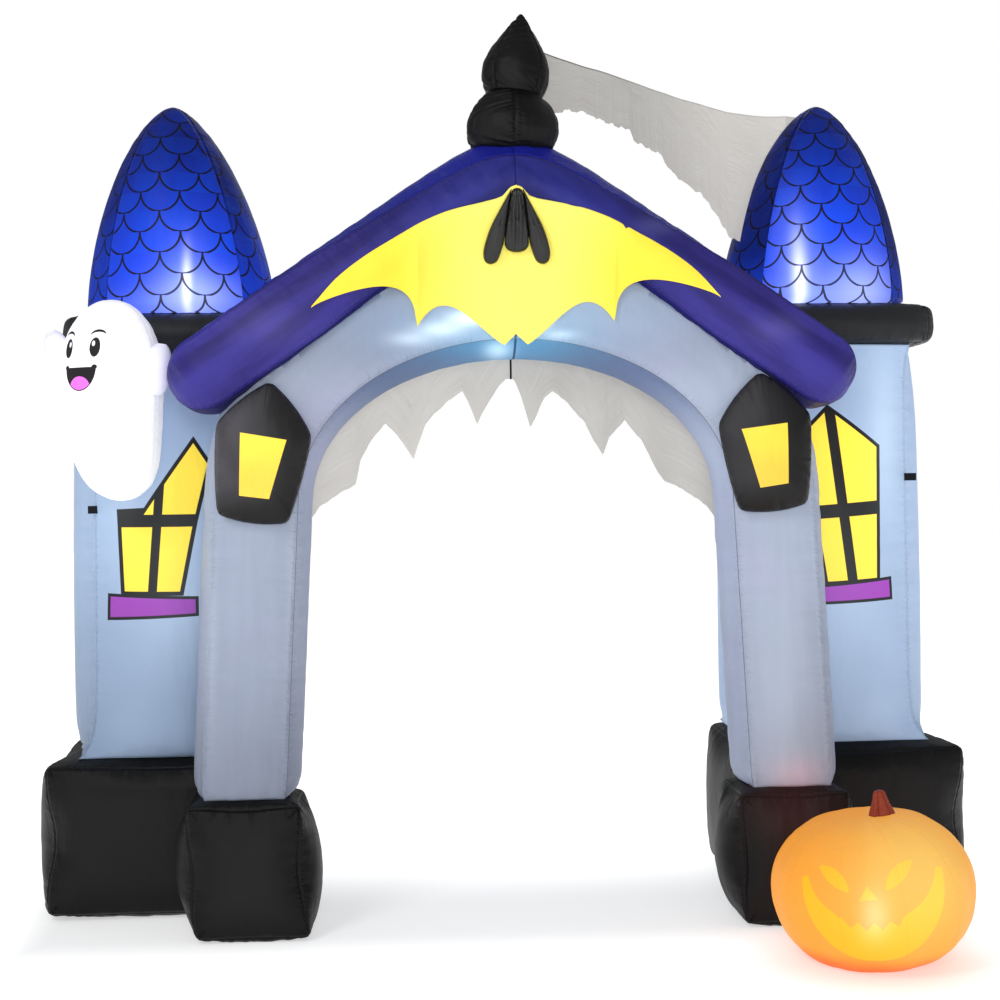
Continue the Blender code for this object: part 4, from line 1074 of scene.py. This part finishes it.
# ---------------------------------------------------------------- the pieces
ARCH_LAMPS = (((-0.307, 0.05, 1.752), (0.060, 0.15, 0.020), 0.38, LED),
              ((-0.220, 0.05, 1.780), (0.065, 0.15, 0.022), 0.60, LED),
              ((-0.140, 0.05, 1.812), (0.060, 0.15, 0.023), 0.85, LED),
              ((0.066, 0.05, 1.796), (0.036, 0.15, 0.020), 0.72, LED),
              ((0.130, 0.05, 1.762), (0.048, 0.15, 0.014), 0.32, LED),
              ((-0.050, 0.10, 1.722), (0.040, 0.20, 0.024), 0.55, LED),
              ((-0.030, 0.10, 1.790), (0.380, 0.40, 0.110), 0.24, SKY),
              ((-0.020, 0.16, 1.735), (0.180, 0.30, 0.040), 0.18, SKY),
              ((-0.905, 0.15, 0.95), (0.024, 0.25, 0.40), 0.10, LED),
              ((-0.655, 0.15, 0.95), (0.020, 0.25, 0.40), 0.05, LED),
              ((0.786, 0.10, 0.74), (0.07, 0.10, 0.42), 0.11, LED),
              # the pumpkin's light on the right column's foot, painted
              ((0.820, 0.06, 0.450), (0.080, 0.20, 0.060), 0.16, PUMPKIN_LIGHT))
# painted highlights on the roof's cloth: violet ones low on each arm and a pale one on the right arm near the
# peak
ROOF_HIGHLIGHTS = (((0.765, 0.0, 1.768), (0.075, 0.30, 0.040), 0.05, VIOLET),
              ((0.403, 0.0, 2.070), (0.060, 0.30, 0.030), 0.07, (0.45, 0.50, 1.0)),
              ((-0.720, 0.0, 1.790), (0.110, 0.30, 0.060), 0.04, VIOLET))
PUMPKIN_LAMPS = (((1.00, -0.60, 0.27), (0.20, 0.26, 0.17), 0.24, (0.2, 1.0, 0.40)),
                 ((0.868, -0.62, 0.185), (0.034, 0.10, 0.060), 0.28, (0.3, 0.9, 0.75)))


def tower_lamps(side):
    return (((side * 1.20, 0.38, 1.46), (0.06, 0.30, 0.26), 0.20, LED),
            ((side * 1.04, 0.34, 1.00), (0.16, 0.20, 0.30), 0.12, LED),
            ((side * 1.19, 0.40, 0.60), (0.07, 0.20, 0.09), 0.03, LED))


def cone_lamps(side):
    """The lamp inside a cone: a narrow white streak in a wide pale glow."""
    x, patch, more = (-0.992, -0.972, 1.0) if side < 0 else (0.935, 1.135, 1.5)
    front = TOWER_DEPTH - 0.30
    return (((x, front, 1.960), (0.014 * more, 0.40, 0.085 * more), 0.9, WHITE),
            ((x, front, 1.985), (0.060, 0.40, 0.120 * more), 0.17 * more, (0.7, 0.82, 1.0)),
            ((patch, front, 1.925), (0.115, 0.50, 0.070 * more), 0.40, (0.8, 0.86, 1.0)),
            ((side * 1.02, front, 1.880), (0.240, 0.50, 0.060 * more), 0.16 * more, (0.7, 0.8, 1.0)))


def make_materials():
    """One material for each cloth of the arch."""
    leg = dict(glow=(0.45, 1.45, 0.0, 0.22), lamps=ARCH_LAMPS)
    roof = dict(mottle=0.08, grain=(0.35, 1.0, 0.6))
    ghost_like = dict(seam_tone=0.85, crease=0.4, seam=0.3)
    found = {
        # The black cloth gets painted shade by its seams, a painted highlight in each panel's middle and the
        # pumpkin's light painted on the right front base.
        "black": nylon("black_nylon", BLACK, 0.46, 0.16, seam_tone=0.7, mottle=0.12, panel_shading=(0.15, 0.50, 1.40),
                       seam=0.4, lamps=(((0.80, 0.0, 0.36), (0.13, 0.10, 0.10), 0.026, PUMPKIN_LIGHT),)),
        # The cornice bands' black is painted lighter as their sheen.
        "band": nylon("black_band_painted_sheen_nylon", srgb(38, 39, 41), 0.46, 0.18, seam_tone=0.6, mottle=0.12, seam=0.4),
        "pad": nylon("black_pad_nylon", srgb(26, 25, 25), 0.34, 0.40, seam_tone=0.6, mottle=0.15),
        "leg": nylon("arch_nylon", COLUMN_BLUE, 0.46, 0.18, seam_tone=0.62, printed=leg_print, seam=0.3,
                     **leg),
        "soffit": nylon("arch_inner_nylon", COLUMN_BLUE, 0.46, 0.10, seam_tone=0.30, printed=soffit_print,
                        broad=2.2, **leg),
        "roof": nylon("roof_nylon", srgb(56, 50, 136), 0.46, 0.16, seam_tone=0.7, printed=roof_print,
                      lamps=ROOF_HIGHLIGHTS, **roof),
        "roof_side": nylon("roof_side_nylon", srgb(27, 33, 138), 0.46, 0.08, **roof),
        # the roof's underside, painted darker as shade
        "roof_shaded_under": nylon("roof_shaded_under_nylon", srgb(30, 26, 100), 0.46, 0.08, **roof),
        # The ghost and its arms get an even painted glow that lifts their shaded sides towards white.
        "ghost": nylon("ghost_nylon", srgb(246, 246, 249), 0.5, 0.1, mottle=0.0, printed=ghost_print,
                       glow=even(0.30), **ghost_like),
        "ghost_arm": nylon("ghost_arm_nylon", srgb(232, 231, 248), 0.5, 0.1, mottle=0.02, glow=even(0.14),
                           **ghost_like),
        "pumpkin": nylon("pumpkin_nylon", srgb(214, 118, 32), 0.5, 0.12, seam_tone=0.9, seam_shade_tone=0.0,
                         mottle=0.04, crease=0.4, seam=0.16, printed=pumpkin_print, glow=even(0.70),
                         lamps=PUMPKIN_LAMPS),
        "stem": nylon("stem_nylon", srgb(146, 60, 40), 0.45, 0.2, seam_tone=0.85, seam=0.4),
        "bat": bat_cloth("bat_cloth"),
        "gauze": gauze("gauze", 0.48, 2.2, dark_upper_line=True),
        "valance": gauze("valance_gauze", 0.88, 0.72, (-0.25, 0.15))}
    # by side: the glow by height of tower, cone and the cone's sides with painted shade, and the strength of
    # the tower's seams
    glows = (((0.62, 1.30, -0.06, 0.30), (1.92, 2.48, 3.9, 0.25), (1.85, 2.35, 3.9, 0.3), 0.2),
             ((0.40, 1.30, 0.30, 0.55), (2.05, 2.52, 3.7, 0.25), (1.92, 2.10, 2.4, 0.12), 0.45))
    for (label, side), (tower, front, flank, strength) in zip(SIDES, glows):
        found["tower", label] = nylon("tower_nylon_" + label, TOWER_BLUE, 0.46, 0.18, seam_tone=0.6,
                                      printed=window_print(side), glow=tower, lamps=tower_lamps(side),
                                      seam=strength)
        cone = dict(core=(side * 1.0, 0.27), seam_tone=0.3, seam=0.7)
        found["cone", label] = nylon("cone_nylon_" + label, CONE_BLUE, 0.40, 0.14, printed=scale_print,
                                     glow=front, lamps=cone_lamps(side), **cone)
        # the side gores: a copy of the cone's cloth with painted shade
        found["cone_side", label] = nylon("cone_side_nylon_" + label, CONE_BLUE, 0.45, 0.06,
                                          printed=shaded_side_scale_print, glow=flank, **cone)
        # the lanterns get painted shade by their rim seam and an even painted glow
        found["lantern", label] = nylon("lantern_nylon_" + label, BLACK, 0.42, 0.22, seam_tone=0.4,
                                        mottle=0.1, printed=lantern_print(side), glow=even(0.12),
                                        panel_shading=(0.020, 0.55, 1.0))
    return found


def bat_cloth(name):
    """Thin printed satin, painted deeper yellow towards the wing tips as shade, black behind the pads, with a
    slack line or two.
    """
    g = Graph(name, 0.6, 0.15)
    across, along = g.uv("cloth")
    place = g.place()
    x, _, z = g.split(place)
    warm = g.spread(abs(x), 0.05, 0.40) * g.spread(g.noise(place, 3.0, 3.0), 0.2, 0.7, 0.6, 1.1)
    satin = g.mix(warm, srgb(250, 238, 116), srgb(250, 218, 66))
    backing = g.inside(g.polygon(abs(x - 0.003), z, [(-0.01, 2.172), (0.0195, 2.165), (0.0270, 2.148),
                                                     (0.0315, 2.106), (0.0365, 2.044), (-0.01, 2.044)]))
    slack = g.noise(g.vector("MULTIPLY", place, (1.0, 0.2, 0.35)), 11.0, 2.0)
    weave = g.bump(across.wave(SATIN_THREAD) * along.wave(SATIN_THREAD), 0.00004)
    # a painted glow brightens the satin, but not behind the pads
    return g.finish(Base_Color=g.mix(backing, satin, BLACK), Emission_Strength=0.5,
                    Emission_Color=g.mix(backing, (0.20, 0.16, 0.012), (0.0, 0.0, 0.0)),
                    Normal=g.bump(slack, 0.006, weave))


def gauze(name, shine, shaded=1.0, reach=(0.35, 0.85), dark_upper_line=False):
    """Fine pale net that lets the light through, shown by a painted glow. The painted glow changes across the
    reach, from shine to shine times shaded.

    dark_upper_line draws a dark line along its upper edge, fading towards the right."""
    g = Graph(name, 0.8, 0.1)
    across, along = g.uv("cloth")
    x = g.split(g.place())[0]
    net = abs(across.wave(NET_MESH, math.pi)) & abs(along.wave(NET_MESH, math.pi))
    thick = g.noise(g.join(across * 6.0, along * 420.0), 1.0, 1.0)
    shade = g.mix(g.spread(thick, 0.3, 0.7), srgb(156, 153, 149), srgb(167, 165, 161))
    if dark_upper_line:
        edge = g.uv("seam")[0]
        upper = g.spread(along - edge, 0.001, 0.002) * g.spread(x, 0.10, 0.55, 1.0, 0.2)
        shade = g.mix(g.spread(edge, 0.0030, 0.0055, 1.0, 0.0) * upper, shade, srgb(96, 92, 90))
    lit = g.scale(shade, g.spread(x, *reach, shine, shine * shaded))
    return g.finish(Base_Color=shade, Emission_Color=lit, Emission_Strength=1.0,
                    Alpha=g.spread(net, 0.70, 0.95, 0.64, 0.94), Normal=g.bump(net, 0.0003))


def chambers(m):
    """Arch, roof, towers, cones, bands and bases."""
    made = {}
    for seed, (label, side) in zip((0, 100), SIDES):
        skin = pucker(roof_skin(side), 4, seed + 11, depth=0.0013, fold=0.0030, groove=0.0006)
        made["roof", label] = sewn("roof_" + label, "roof_indigo", skin, 4,
                                   (m["roof"], m["roof_side"], m["roof_shaded_under"]), panel_slots=(0, 1, 1, 2))
    for seed, (label, side) in zip((0, 100), SIDES):
        skin = pucker(arch_skin(side), 4, seed + 21, groove=0.0004, ends=0.0045)
        made["arch", label] = sewn("arch_" + label, "stone_blue", skin, 4, (m["leg"], m["soffit"]),
                                   [made["roof", label]], panel_slots=(0, 0, 0, 1))
        skin = pucker(tower_skin(side), 4, seed + 31, groove=0.0004, ends=0.006)
        made["tower", label] = sewn("tower_" + label, "stone_blue", skin, 4, [m["tower", label]])
        skin = pucker(cone_skin(side), 4, seed + 41, depth=0.0012, fold=0.0014, reach=0.022)
        tip = (side * (CONE["x"] + CONE["lean"]), FRONT_Y + TOWER_DEPTH,
               BAND["top"] + LIFT[side] + GAP + cone_height(side))
        made["cone", label] = sewn("cone_" + label, "cone_blue", skin, 4,
                                   (m["cone", label], m["cone_side", label]), tips=(None, tip),
                                   panel_slots=(0, 1, 0, 1))
        band_piece("cornice_" + label, side, seed + 51, m["band"])
        made["front", label] = base_piece("base_front_" + label, side, FRONT_BASE, (0.015, BASE_MEET - 0.010),
                                          (-9, BASE_MEET - SEAM_GAP), seed + 61, m["black"])
        base_piece("base_rear_" + label, side, REAR_BASE, (BASE_MEET + 0.008, REAR_FACE - 0.030),
                   (BASE_MEET + SEAM_GAP, REAR_FACE), seed + 71, m["black"])
    return made


def finial(m, made):
    upper = ((0.005, 0.242), (0.015, 0.231), (0.034, 0.205), (0.056, 0.172), (0.077, 0.140),
             (0.093, 0.108), (0.101, 0.078), (0.102, 0.048), (0.096, 0.020), (0.086, 0.000))
    lower = ((0.084, 0.000), (0.104, -0.020), (0.126, -0.050), (0.140, -0.085), (0.142, -0.115),
             (0.128, -0.158), (0.096, -0.190))
    place = FRONT_Y + FINIAL_DEPTH
    skin = gore_skin(lower, 4, 20, (0.006, place, FINIAL_SEAM_Z), start=0.0)
    skin = pucker(skin, 4, 311, depth=0.0010, fold=0.0008, ends=0.005)
    roofs = [made["roof", label] for label, _ in SIDES]
    low = sewn("finial_lower", "base_black", skin, 4, [m["black"]], roofs)
    skin = gore_skin(upper, 4, 20, (0.011, place, FINIAL_SEAM_Z + GAP), tilt=math.radians(6))
    skin = pucker(skin, 4, 321, depth=0.0010, fold=0.0008, ends=0.004)
    return low, sewn("finial_upper", "base_black", skin, 4, [m["black"]], [low])


def lanterns(m, made):
    corners = [(-0.103, -0.132), (-0.139, 0.127), (-0.011, 0.262), (0.011, 0.262), (0.139, 0.127),
               (0.103, -0.132)]
    outline = rounded_outline(corners, 28, (0.006, 0.010, 0.001, 0.010, 0.006, 0.014), 5)
    depth = FRONT_Y + ARCH_FRONT - ARCH_FACE_SWELL + LANTERN["sink"] - LANTERN["thick"] / 4
    for seed, (label, side) in zip((400, 401), SIDES):
        centre = (side * LANTERN["x"][side], depth, LANTERN["z"][side])
        turn = math.radians(-side * LANTERN["tilt"][side])
        skin, rim = pillow_skin(outline, LANTERN["thick"], centre, turn, full=0.55)
        skin = rim_pucker(skin, rim, seed, 0.0028, 0.013)
        pillow("lantern_" + label, skin, rim, m["lantern", label], [made["arch", label]])


def bat(m, made):
    across = np.linspace(-0.594, 0.594, 281)
    share = np.linspace(0, 1, 61)
    low, high = bat_lower(np.abs(across)), smooth_rows(BAT_UPPER, np.abs(across))
    high = high - 0.002 * np.exp(-((across - 0.170) / 0.018) ** 2)
    high = high - 0.009 * np.exp(-((across - 0.318) / 0.005) ** 2)
    z = low[:, None] + (high - low)[:, None] * share[None, :] + BAT_TILT * across[:, None]
    points = np.stack((np.broadcast_to(across[:, None], z.shape), np.zeros_like(z), z), axis=-1)
    supports = [made[kind, label] for kind in ("roof", "arch") for label, _ in SIDES]
    laid = stretched_over(supports, points, BAT_THICK / 2 + 2 * GAP)
    crease = 0.0012 * sum(np.exp(-((across - at) / 0.004) ** 2) for at in (0.010, -0.012))
    laid[:, :, 1] -= crease[:, None] * (1 - share[None, :]) ** 0.5
    piece = cloth_sheet("bat_sheet", laid, BAT_THICK, m["bat"])
    stands_for(piece, "bat_yellow", "bat")
    return piece, laid


PAD_HALF = ((0.0140, 2.174), (0.0200, 2.150), (0.0262, 2.110), (0.0345, 2.040), (0.0325, 2.014),
            (0.0160, 2.002))
PAD_SIDE = ((0.0160, 2.178), (0.0330, 2.150), (0.0540, 2.114), (0.0790, 2.066), (0.0960, 2.012),
            (0.0970, 1.984), (0.0890, 1.970), (0.0750, 1.966), (0.0600, 1.972), (0.0520, 1.984),
            (0.0440, 2.006), (0.0362, 2.036), (0.0280, 2.106), (0.0215, 2.150))
PAD_MIDDLE = (((0.0, 2.180),) + PAD_HALF + ((0.0, 2.000),) + tuple((-x, z) for x, z in PAD_HALF[::-1]))


def smooth_loop(corners, count):
    """A closed smooth outline through some corners, with even steps."""
    corners = np.array(corners)
    before, after, ahead = np.roll(corners, 1, 0), np.roll(corners, -1, 0), np.roll(corners, -2, 0)
    t = np.linspace(0, 1, 24)[:-1, None, None]
    curve = 0.5 * (2 * corners + (after - before) * t
                   + (2 * before - 5 * corners + 4 * after - ahead) * t ** 2
                   + (3 * corners - before - 3 * after + ahead) * t ** 3)
    curve = curve.transpose(1, 0, 2).reshape(-1, 2)
    curve = np.concatenate((curve, curve[:1]))
    run = np.concatenate(([0], np.linalg.norm(np.diff(curve, axis=0), axis=1).cumsum()))
    even = np.linspace(0, run[-1], count + 1)[:-1]
    return np.stack((np.interp(even, run, curve[:, 0]), np.interp(even, run, curve[:, 1])), axis=1)


def bat_pads(m, laid):
    """Three long pads that hang from the bat's peak; the middle one is pleated."""
    pieces = []
    across = laid[:, 0, 0]
    laid = laid.copy()
    for _ in range(400):
        laid[:, 1:-1, 1] = np.minimum(laid[:, 1:-1, 1], (laid[:, :-2, 1] + laid[:, 2:, 1]) / 2)
    for label, corners, side in (("left", PAD_SIDE, -1), ("middle", PAD_MIDDLE, 1), ("right", PAD_SIDE, 1)):
        outline = (smooth_loop(corners, 120) * (side, 1))[::-side]
        middle = outline.mean(axis=0)
        skin, rim = pillow_skin(outline - middle, 0.044, (middle[0] + 0.003, 0, middle[1]), 0.0, 0.5, 22)
        if label == "middle":
            fan = (skin[:, :, 0] - 0.003) / (0.012 + 0.55 * (2.178 - skin[:, :, 2]).clip(0, 0.06))
            skin[:, :, 1] *= 1 - 0.30 * (0.5 + 0.5 * np.cos(2 * np.pi * fan * 2.2))
        skin[:, :, 1] = np.minimum(skin[:, :, 1], 0)
        column = np.clip(np.round((skin[:, :, 0] - across[0]) / (across[1] - across[0])).astype(int),
                         0, len(across) - 1)
        rows = laid[column]
        nearest = np.abs(rows[:, :, :, 2] - skin[:, :, None, 2]).argmin(axis=2)
        cloth = np.take_along_axis(rows[:, :, :, 1], nearest[:, :, None], axis=2)[:, :, 0]
        skin[:, :, 1] += cloth - BAT_THICK / 2 - 2 * GAP
        pieces.append(pillow("bat_pad_" + label, skin, rim, m["pad"]))
    return pieces


def crown_inner(x):
    """Height of the arch's inner face."""
    wide, rise = SPRING_X - LEG_HALF, CROWN_RISE - CROWN_HALF
    return SPRING_Z + rise * np.sqrt(np.maximum(0.0, 1 - (x / wide) ** 2))


def ragged(x, seed, size):
    """Uneven bites and small tears along a cut edge."""
    bites, tears = ripple(x, seed, 0.030, 0.110) - 0.5, ripple(x, seed + 1, 0.012, 0.030) - 0.5
    return size * bites + 0.3 * size * tears


def gauzes(m, made, finials):
    """The torn gauze from the finial to the right cone, and the ragged valance in the arch."""
    share = np.linspace(-0.02, 1.07, 450)
    top, low = smooth_rows(GAUZE_ROWS, share), smooth_rows(GAUZE_ROWS, share, 2)
    low = low + ragged(share, 501, 0.008)
    start, end = np.array((0.060, FINIAL_DEPTH)), np.array((0.960, TOWER_DEPTH + 0.045))
    spot = start + (end - start) * share[:, None]
    spot[:, 1] -= 0.045 * np.clip((share - 0.86) / 0.14, 0, 1) ** 2
    j = np.linspace(0, 1, 60)[None, :]
    belly = 0.030 * np.sin(math.pi * np.clip(share, 0, 1))[:, None] * (1 - j)
    folds = 0.004 * (1 - j) * np.sin(9.0 * share + 0.6)[:, None]
    x = np.broadcast_to(spot[:, :1], (450, 60))
    points = np.stack((x, FRONT_Y + spot[:, 1:] - belly + folds, low[:, None] + (top - low)[:, None] * j),
                      axis=-1)
    piece = cloth_sheet("gauze_top_sheet", points, GAUZE_THICK, m["gauze"])
    cut(piece, *finials, made["cone", "right"])
    stands_for(piece, "gauze_grey", "gauze_top")
    for seed, (label, side) in zip((521, 522), SIDES):
        lower = VALANCE_LOWER[label]
        x = np.linspace(lower[0][0], lower[-1][0], 200)
        low = np.interp(x, *zip(*lower)) + ragged(x, seed, 0.003)
        top = np.maximum(crown_inner(x), low + 0.040) + 0.004
        j = np.linspace(0, 1, 50)[None, :]
        wave = 0.006 * np.sin(40 * x)[:, None] * (1 - j)
        z = low[:, None] + (top - low)[:, None] * j
        points = np.stack((np.broadcast_to(side * x[:, None], z.shape), FRONT_Y + VALANCE_DEPTH + wave, z),
                          axis=-1)
        piece = cloth_sheet("valance_" + label + "_sheet", points, GAUZE_THICK, m["valance"])
        cut(piece, made["arch", label])
        stands_for(piece, "gauze_grey", "valance_" + label)


GHOST_ROWS = ((-1.0, 0.0), (-0.985, 0.20), (-0.93, 0.42), (-0.82, 0.64), (-0.64, 0.80), (-0.40, 0.90),
              (-0.12, 0.97), (0.18, 1.00), (0.46, 0.95), (0.68, 0.82), (0.84, 0.62), (0.94, 0.40),
              (0.985, 0.19), (1.0, 0.0))
ARM_ROWS = ((-0.96, 0.45), (-0.75, 0.8), (-0.3, 1.0), (0.3, 0.92), (0.75, 0.66), (0.95, 0.34))


def round_skin(rows, radii, centre, turn, pitch, count, levels, bend=0.0):
    """An upright soft figure of two halves sewn down its sides, turned and leaned into place."""
    share = -np.cos(np.linspace(0.06, math.pi - 0.06, levels)) * rows[-1][0]
    reach = smooth_rows(rows, share)[:, None]
    around = gore_shares(2, count) * 2 * np.pi
    lean = -0.4 * bend + bend * np.maximum(0.0, -share) ** 1.5
    x, y = radii[0] * reach * np.cos(around) + lean[:, None], radii[1] * reach * np.sin(around)
    z = np.broadcast_to((radii[2] * share)[:, None], x.shape)
    tilted = Matrix.Rotation(turn, 3, "Z") @ Matrix.Rotation(pitch, 3, "Y")
    return np.stack((x, y, z), axis=-1) @ np.array(tilted).T + np.array(centre)


def ghost(m, made):
    turn = math.radians(GHOST["turn"])
    centre = (GHOST["x"], FRONT_Y + GHOST["depth"], GHOST["z"])
    radii = (GHOST["wide"] / 2, GHOST["deep"] / 2, GHOST["tall"] / 2)
    skin = round_skin(GHOST_ROWS, radii, centre, turn, 0, 40, 110, bend=0.030)
    skin = pucker(skin, 2, 601, depth=0.0008, fold=0.0010, groove=0.0003)
    body = sewn("ghost_body", "ghost_white", skin, 2, [m["ghost"]], [made["tower", "left"]])
    for name, out, up, pitch in (("ghost_arm_left", -0.190, 0.140, 20),
                                 ("ghost_arm_right", 0.188, 0.085, 10)):
        aside = Matrix.Rotation(turn, 3, "Z") @ Vector((out * 0.93, -0.030, 0))
        spot = (centre[0] + aside.x, centre[1] + aside.y, centre[2] + up)
        pitch = math.copysign(math.radians(pitch), out)
        skin = round_skin(ARM_ROWS, (0.042, 0.040, 0.080), spot, 0, pitch, 24, 50)
        skin = pucker(skin, 2, 611, depth=0.0008, fold=0.0008, groove=0.0006)
        sewn(name, "ghost_white", skin, 2, [m["ghost_arm"]], [body, made["roof", "left"]])


def pumpkin(m, made):
    radius, deep, tall, ribs = PUMPKIN["radius"], PUMPKIN["deep"], PUMPKIN["tall"] - 0.014, PUMPKIN["ribs"]
    lean = np.array(Matrix.Rotation(math.radians(PUMPKIN["lean"]), 3, "Y"))
    angle = np.linspace(-math.pi / 2 + 0.05, math.pi / 2 - 0.05, 110)
    reach = (np.cos(angle) ** np.where(angle < 0, 0.60, 0.82))[:, None]
    dimple = 0.016 * np.clip((angle - 1.0) / 0.5, 0, 1) ** 1.5
    turn = 2 * np.pi * (gore_shares(ribs, 24) + 0.5 / ribs)
    rib = 1 - 0.018 * np.abs(np.cos(ribs / 2 * turn)) ** 5
    x, y = radius * reach * (rib * np.cos(turn)), deep * reach * (rib * np.sin(turn))
    z = np.broadcast_to((tall / 2 * np.sin(angle) - dimple)[:, None], x.shape)
    centre = np.array((PUMPKIN["x"], FRONT_Y - PUMPKIN_REACH + deep, tall / 2 - 0.012))
    skin = np.stack((x, y, z), axis=-1) @ lean.T + centre
    skin = pucker(skin, ribs, 701, depth=0.0006, fold=0.0008, groove=0.0001)
    skin[:, :, 2] = np.maximum(skin[:, :, 2], 0.0)
    body = sewn("pumpkin", "pumpkin_orange", skin, ribs, [m["pumpkin"]], [made["front", "right"]])
    rows = ((0.005, 0.076), (0.012, 0.074), (0.017, 0.068), (0.021, 0.054), (0.027, 0.036),
            (0.035, 0.016), (0.041, 0.000))
    skin = gore_skin(rows, 5, 14, (STEM_FOOT[0], centre[1], STEM_FOOT[1]), tilt=math.radians(-7), pinch=0.12)
    skin = pucker(skin, 5, 711, depth=0.0008, fold=0.0006, groove=0.0008)
    sewn("pumpkin_stem", "stem_brown", skin, 5, [m["stem"]], [body])


def webbing():
    """The tabs and the valance's tie keep their shapes and get a ribbed black tape."""
    g = Graph("black_webbing", 0.7, 0.2)
    place = g.place()
    x, y, _ = g.split(place)
    tone = g.mix(g.noise(place, 160.0), srgb(16, 16, 17), srgb(30, 30, 32))
    tape = g.finish(Base_Color=tone, Normal=g.bump((x + y).wave(0.0022), 0.0003))
    for name in ("tether_tab_left", "tether_tab_right", "valance_tie"):
        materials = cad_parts[name].data.materials
        materials.clear()
        materials.append(tape)


def build():
    look()
    floor()
    m = make_materials()
    made = chambers(m)
    finials = finial(m, made)
    lanterns(m, made)
    sheet, laid = bat(m, made)
    pads = bat_pads(m, laid)
    sheet_area(laid)
    gauzes(m, made, finials)
    ghost(m, made)
    pumpkin(m, made)
    webbing()


build()
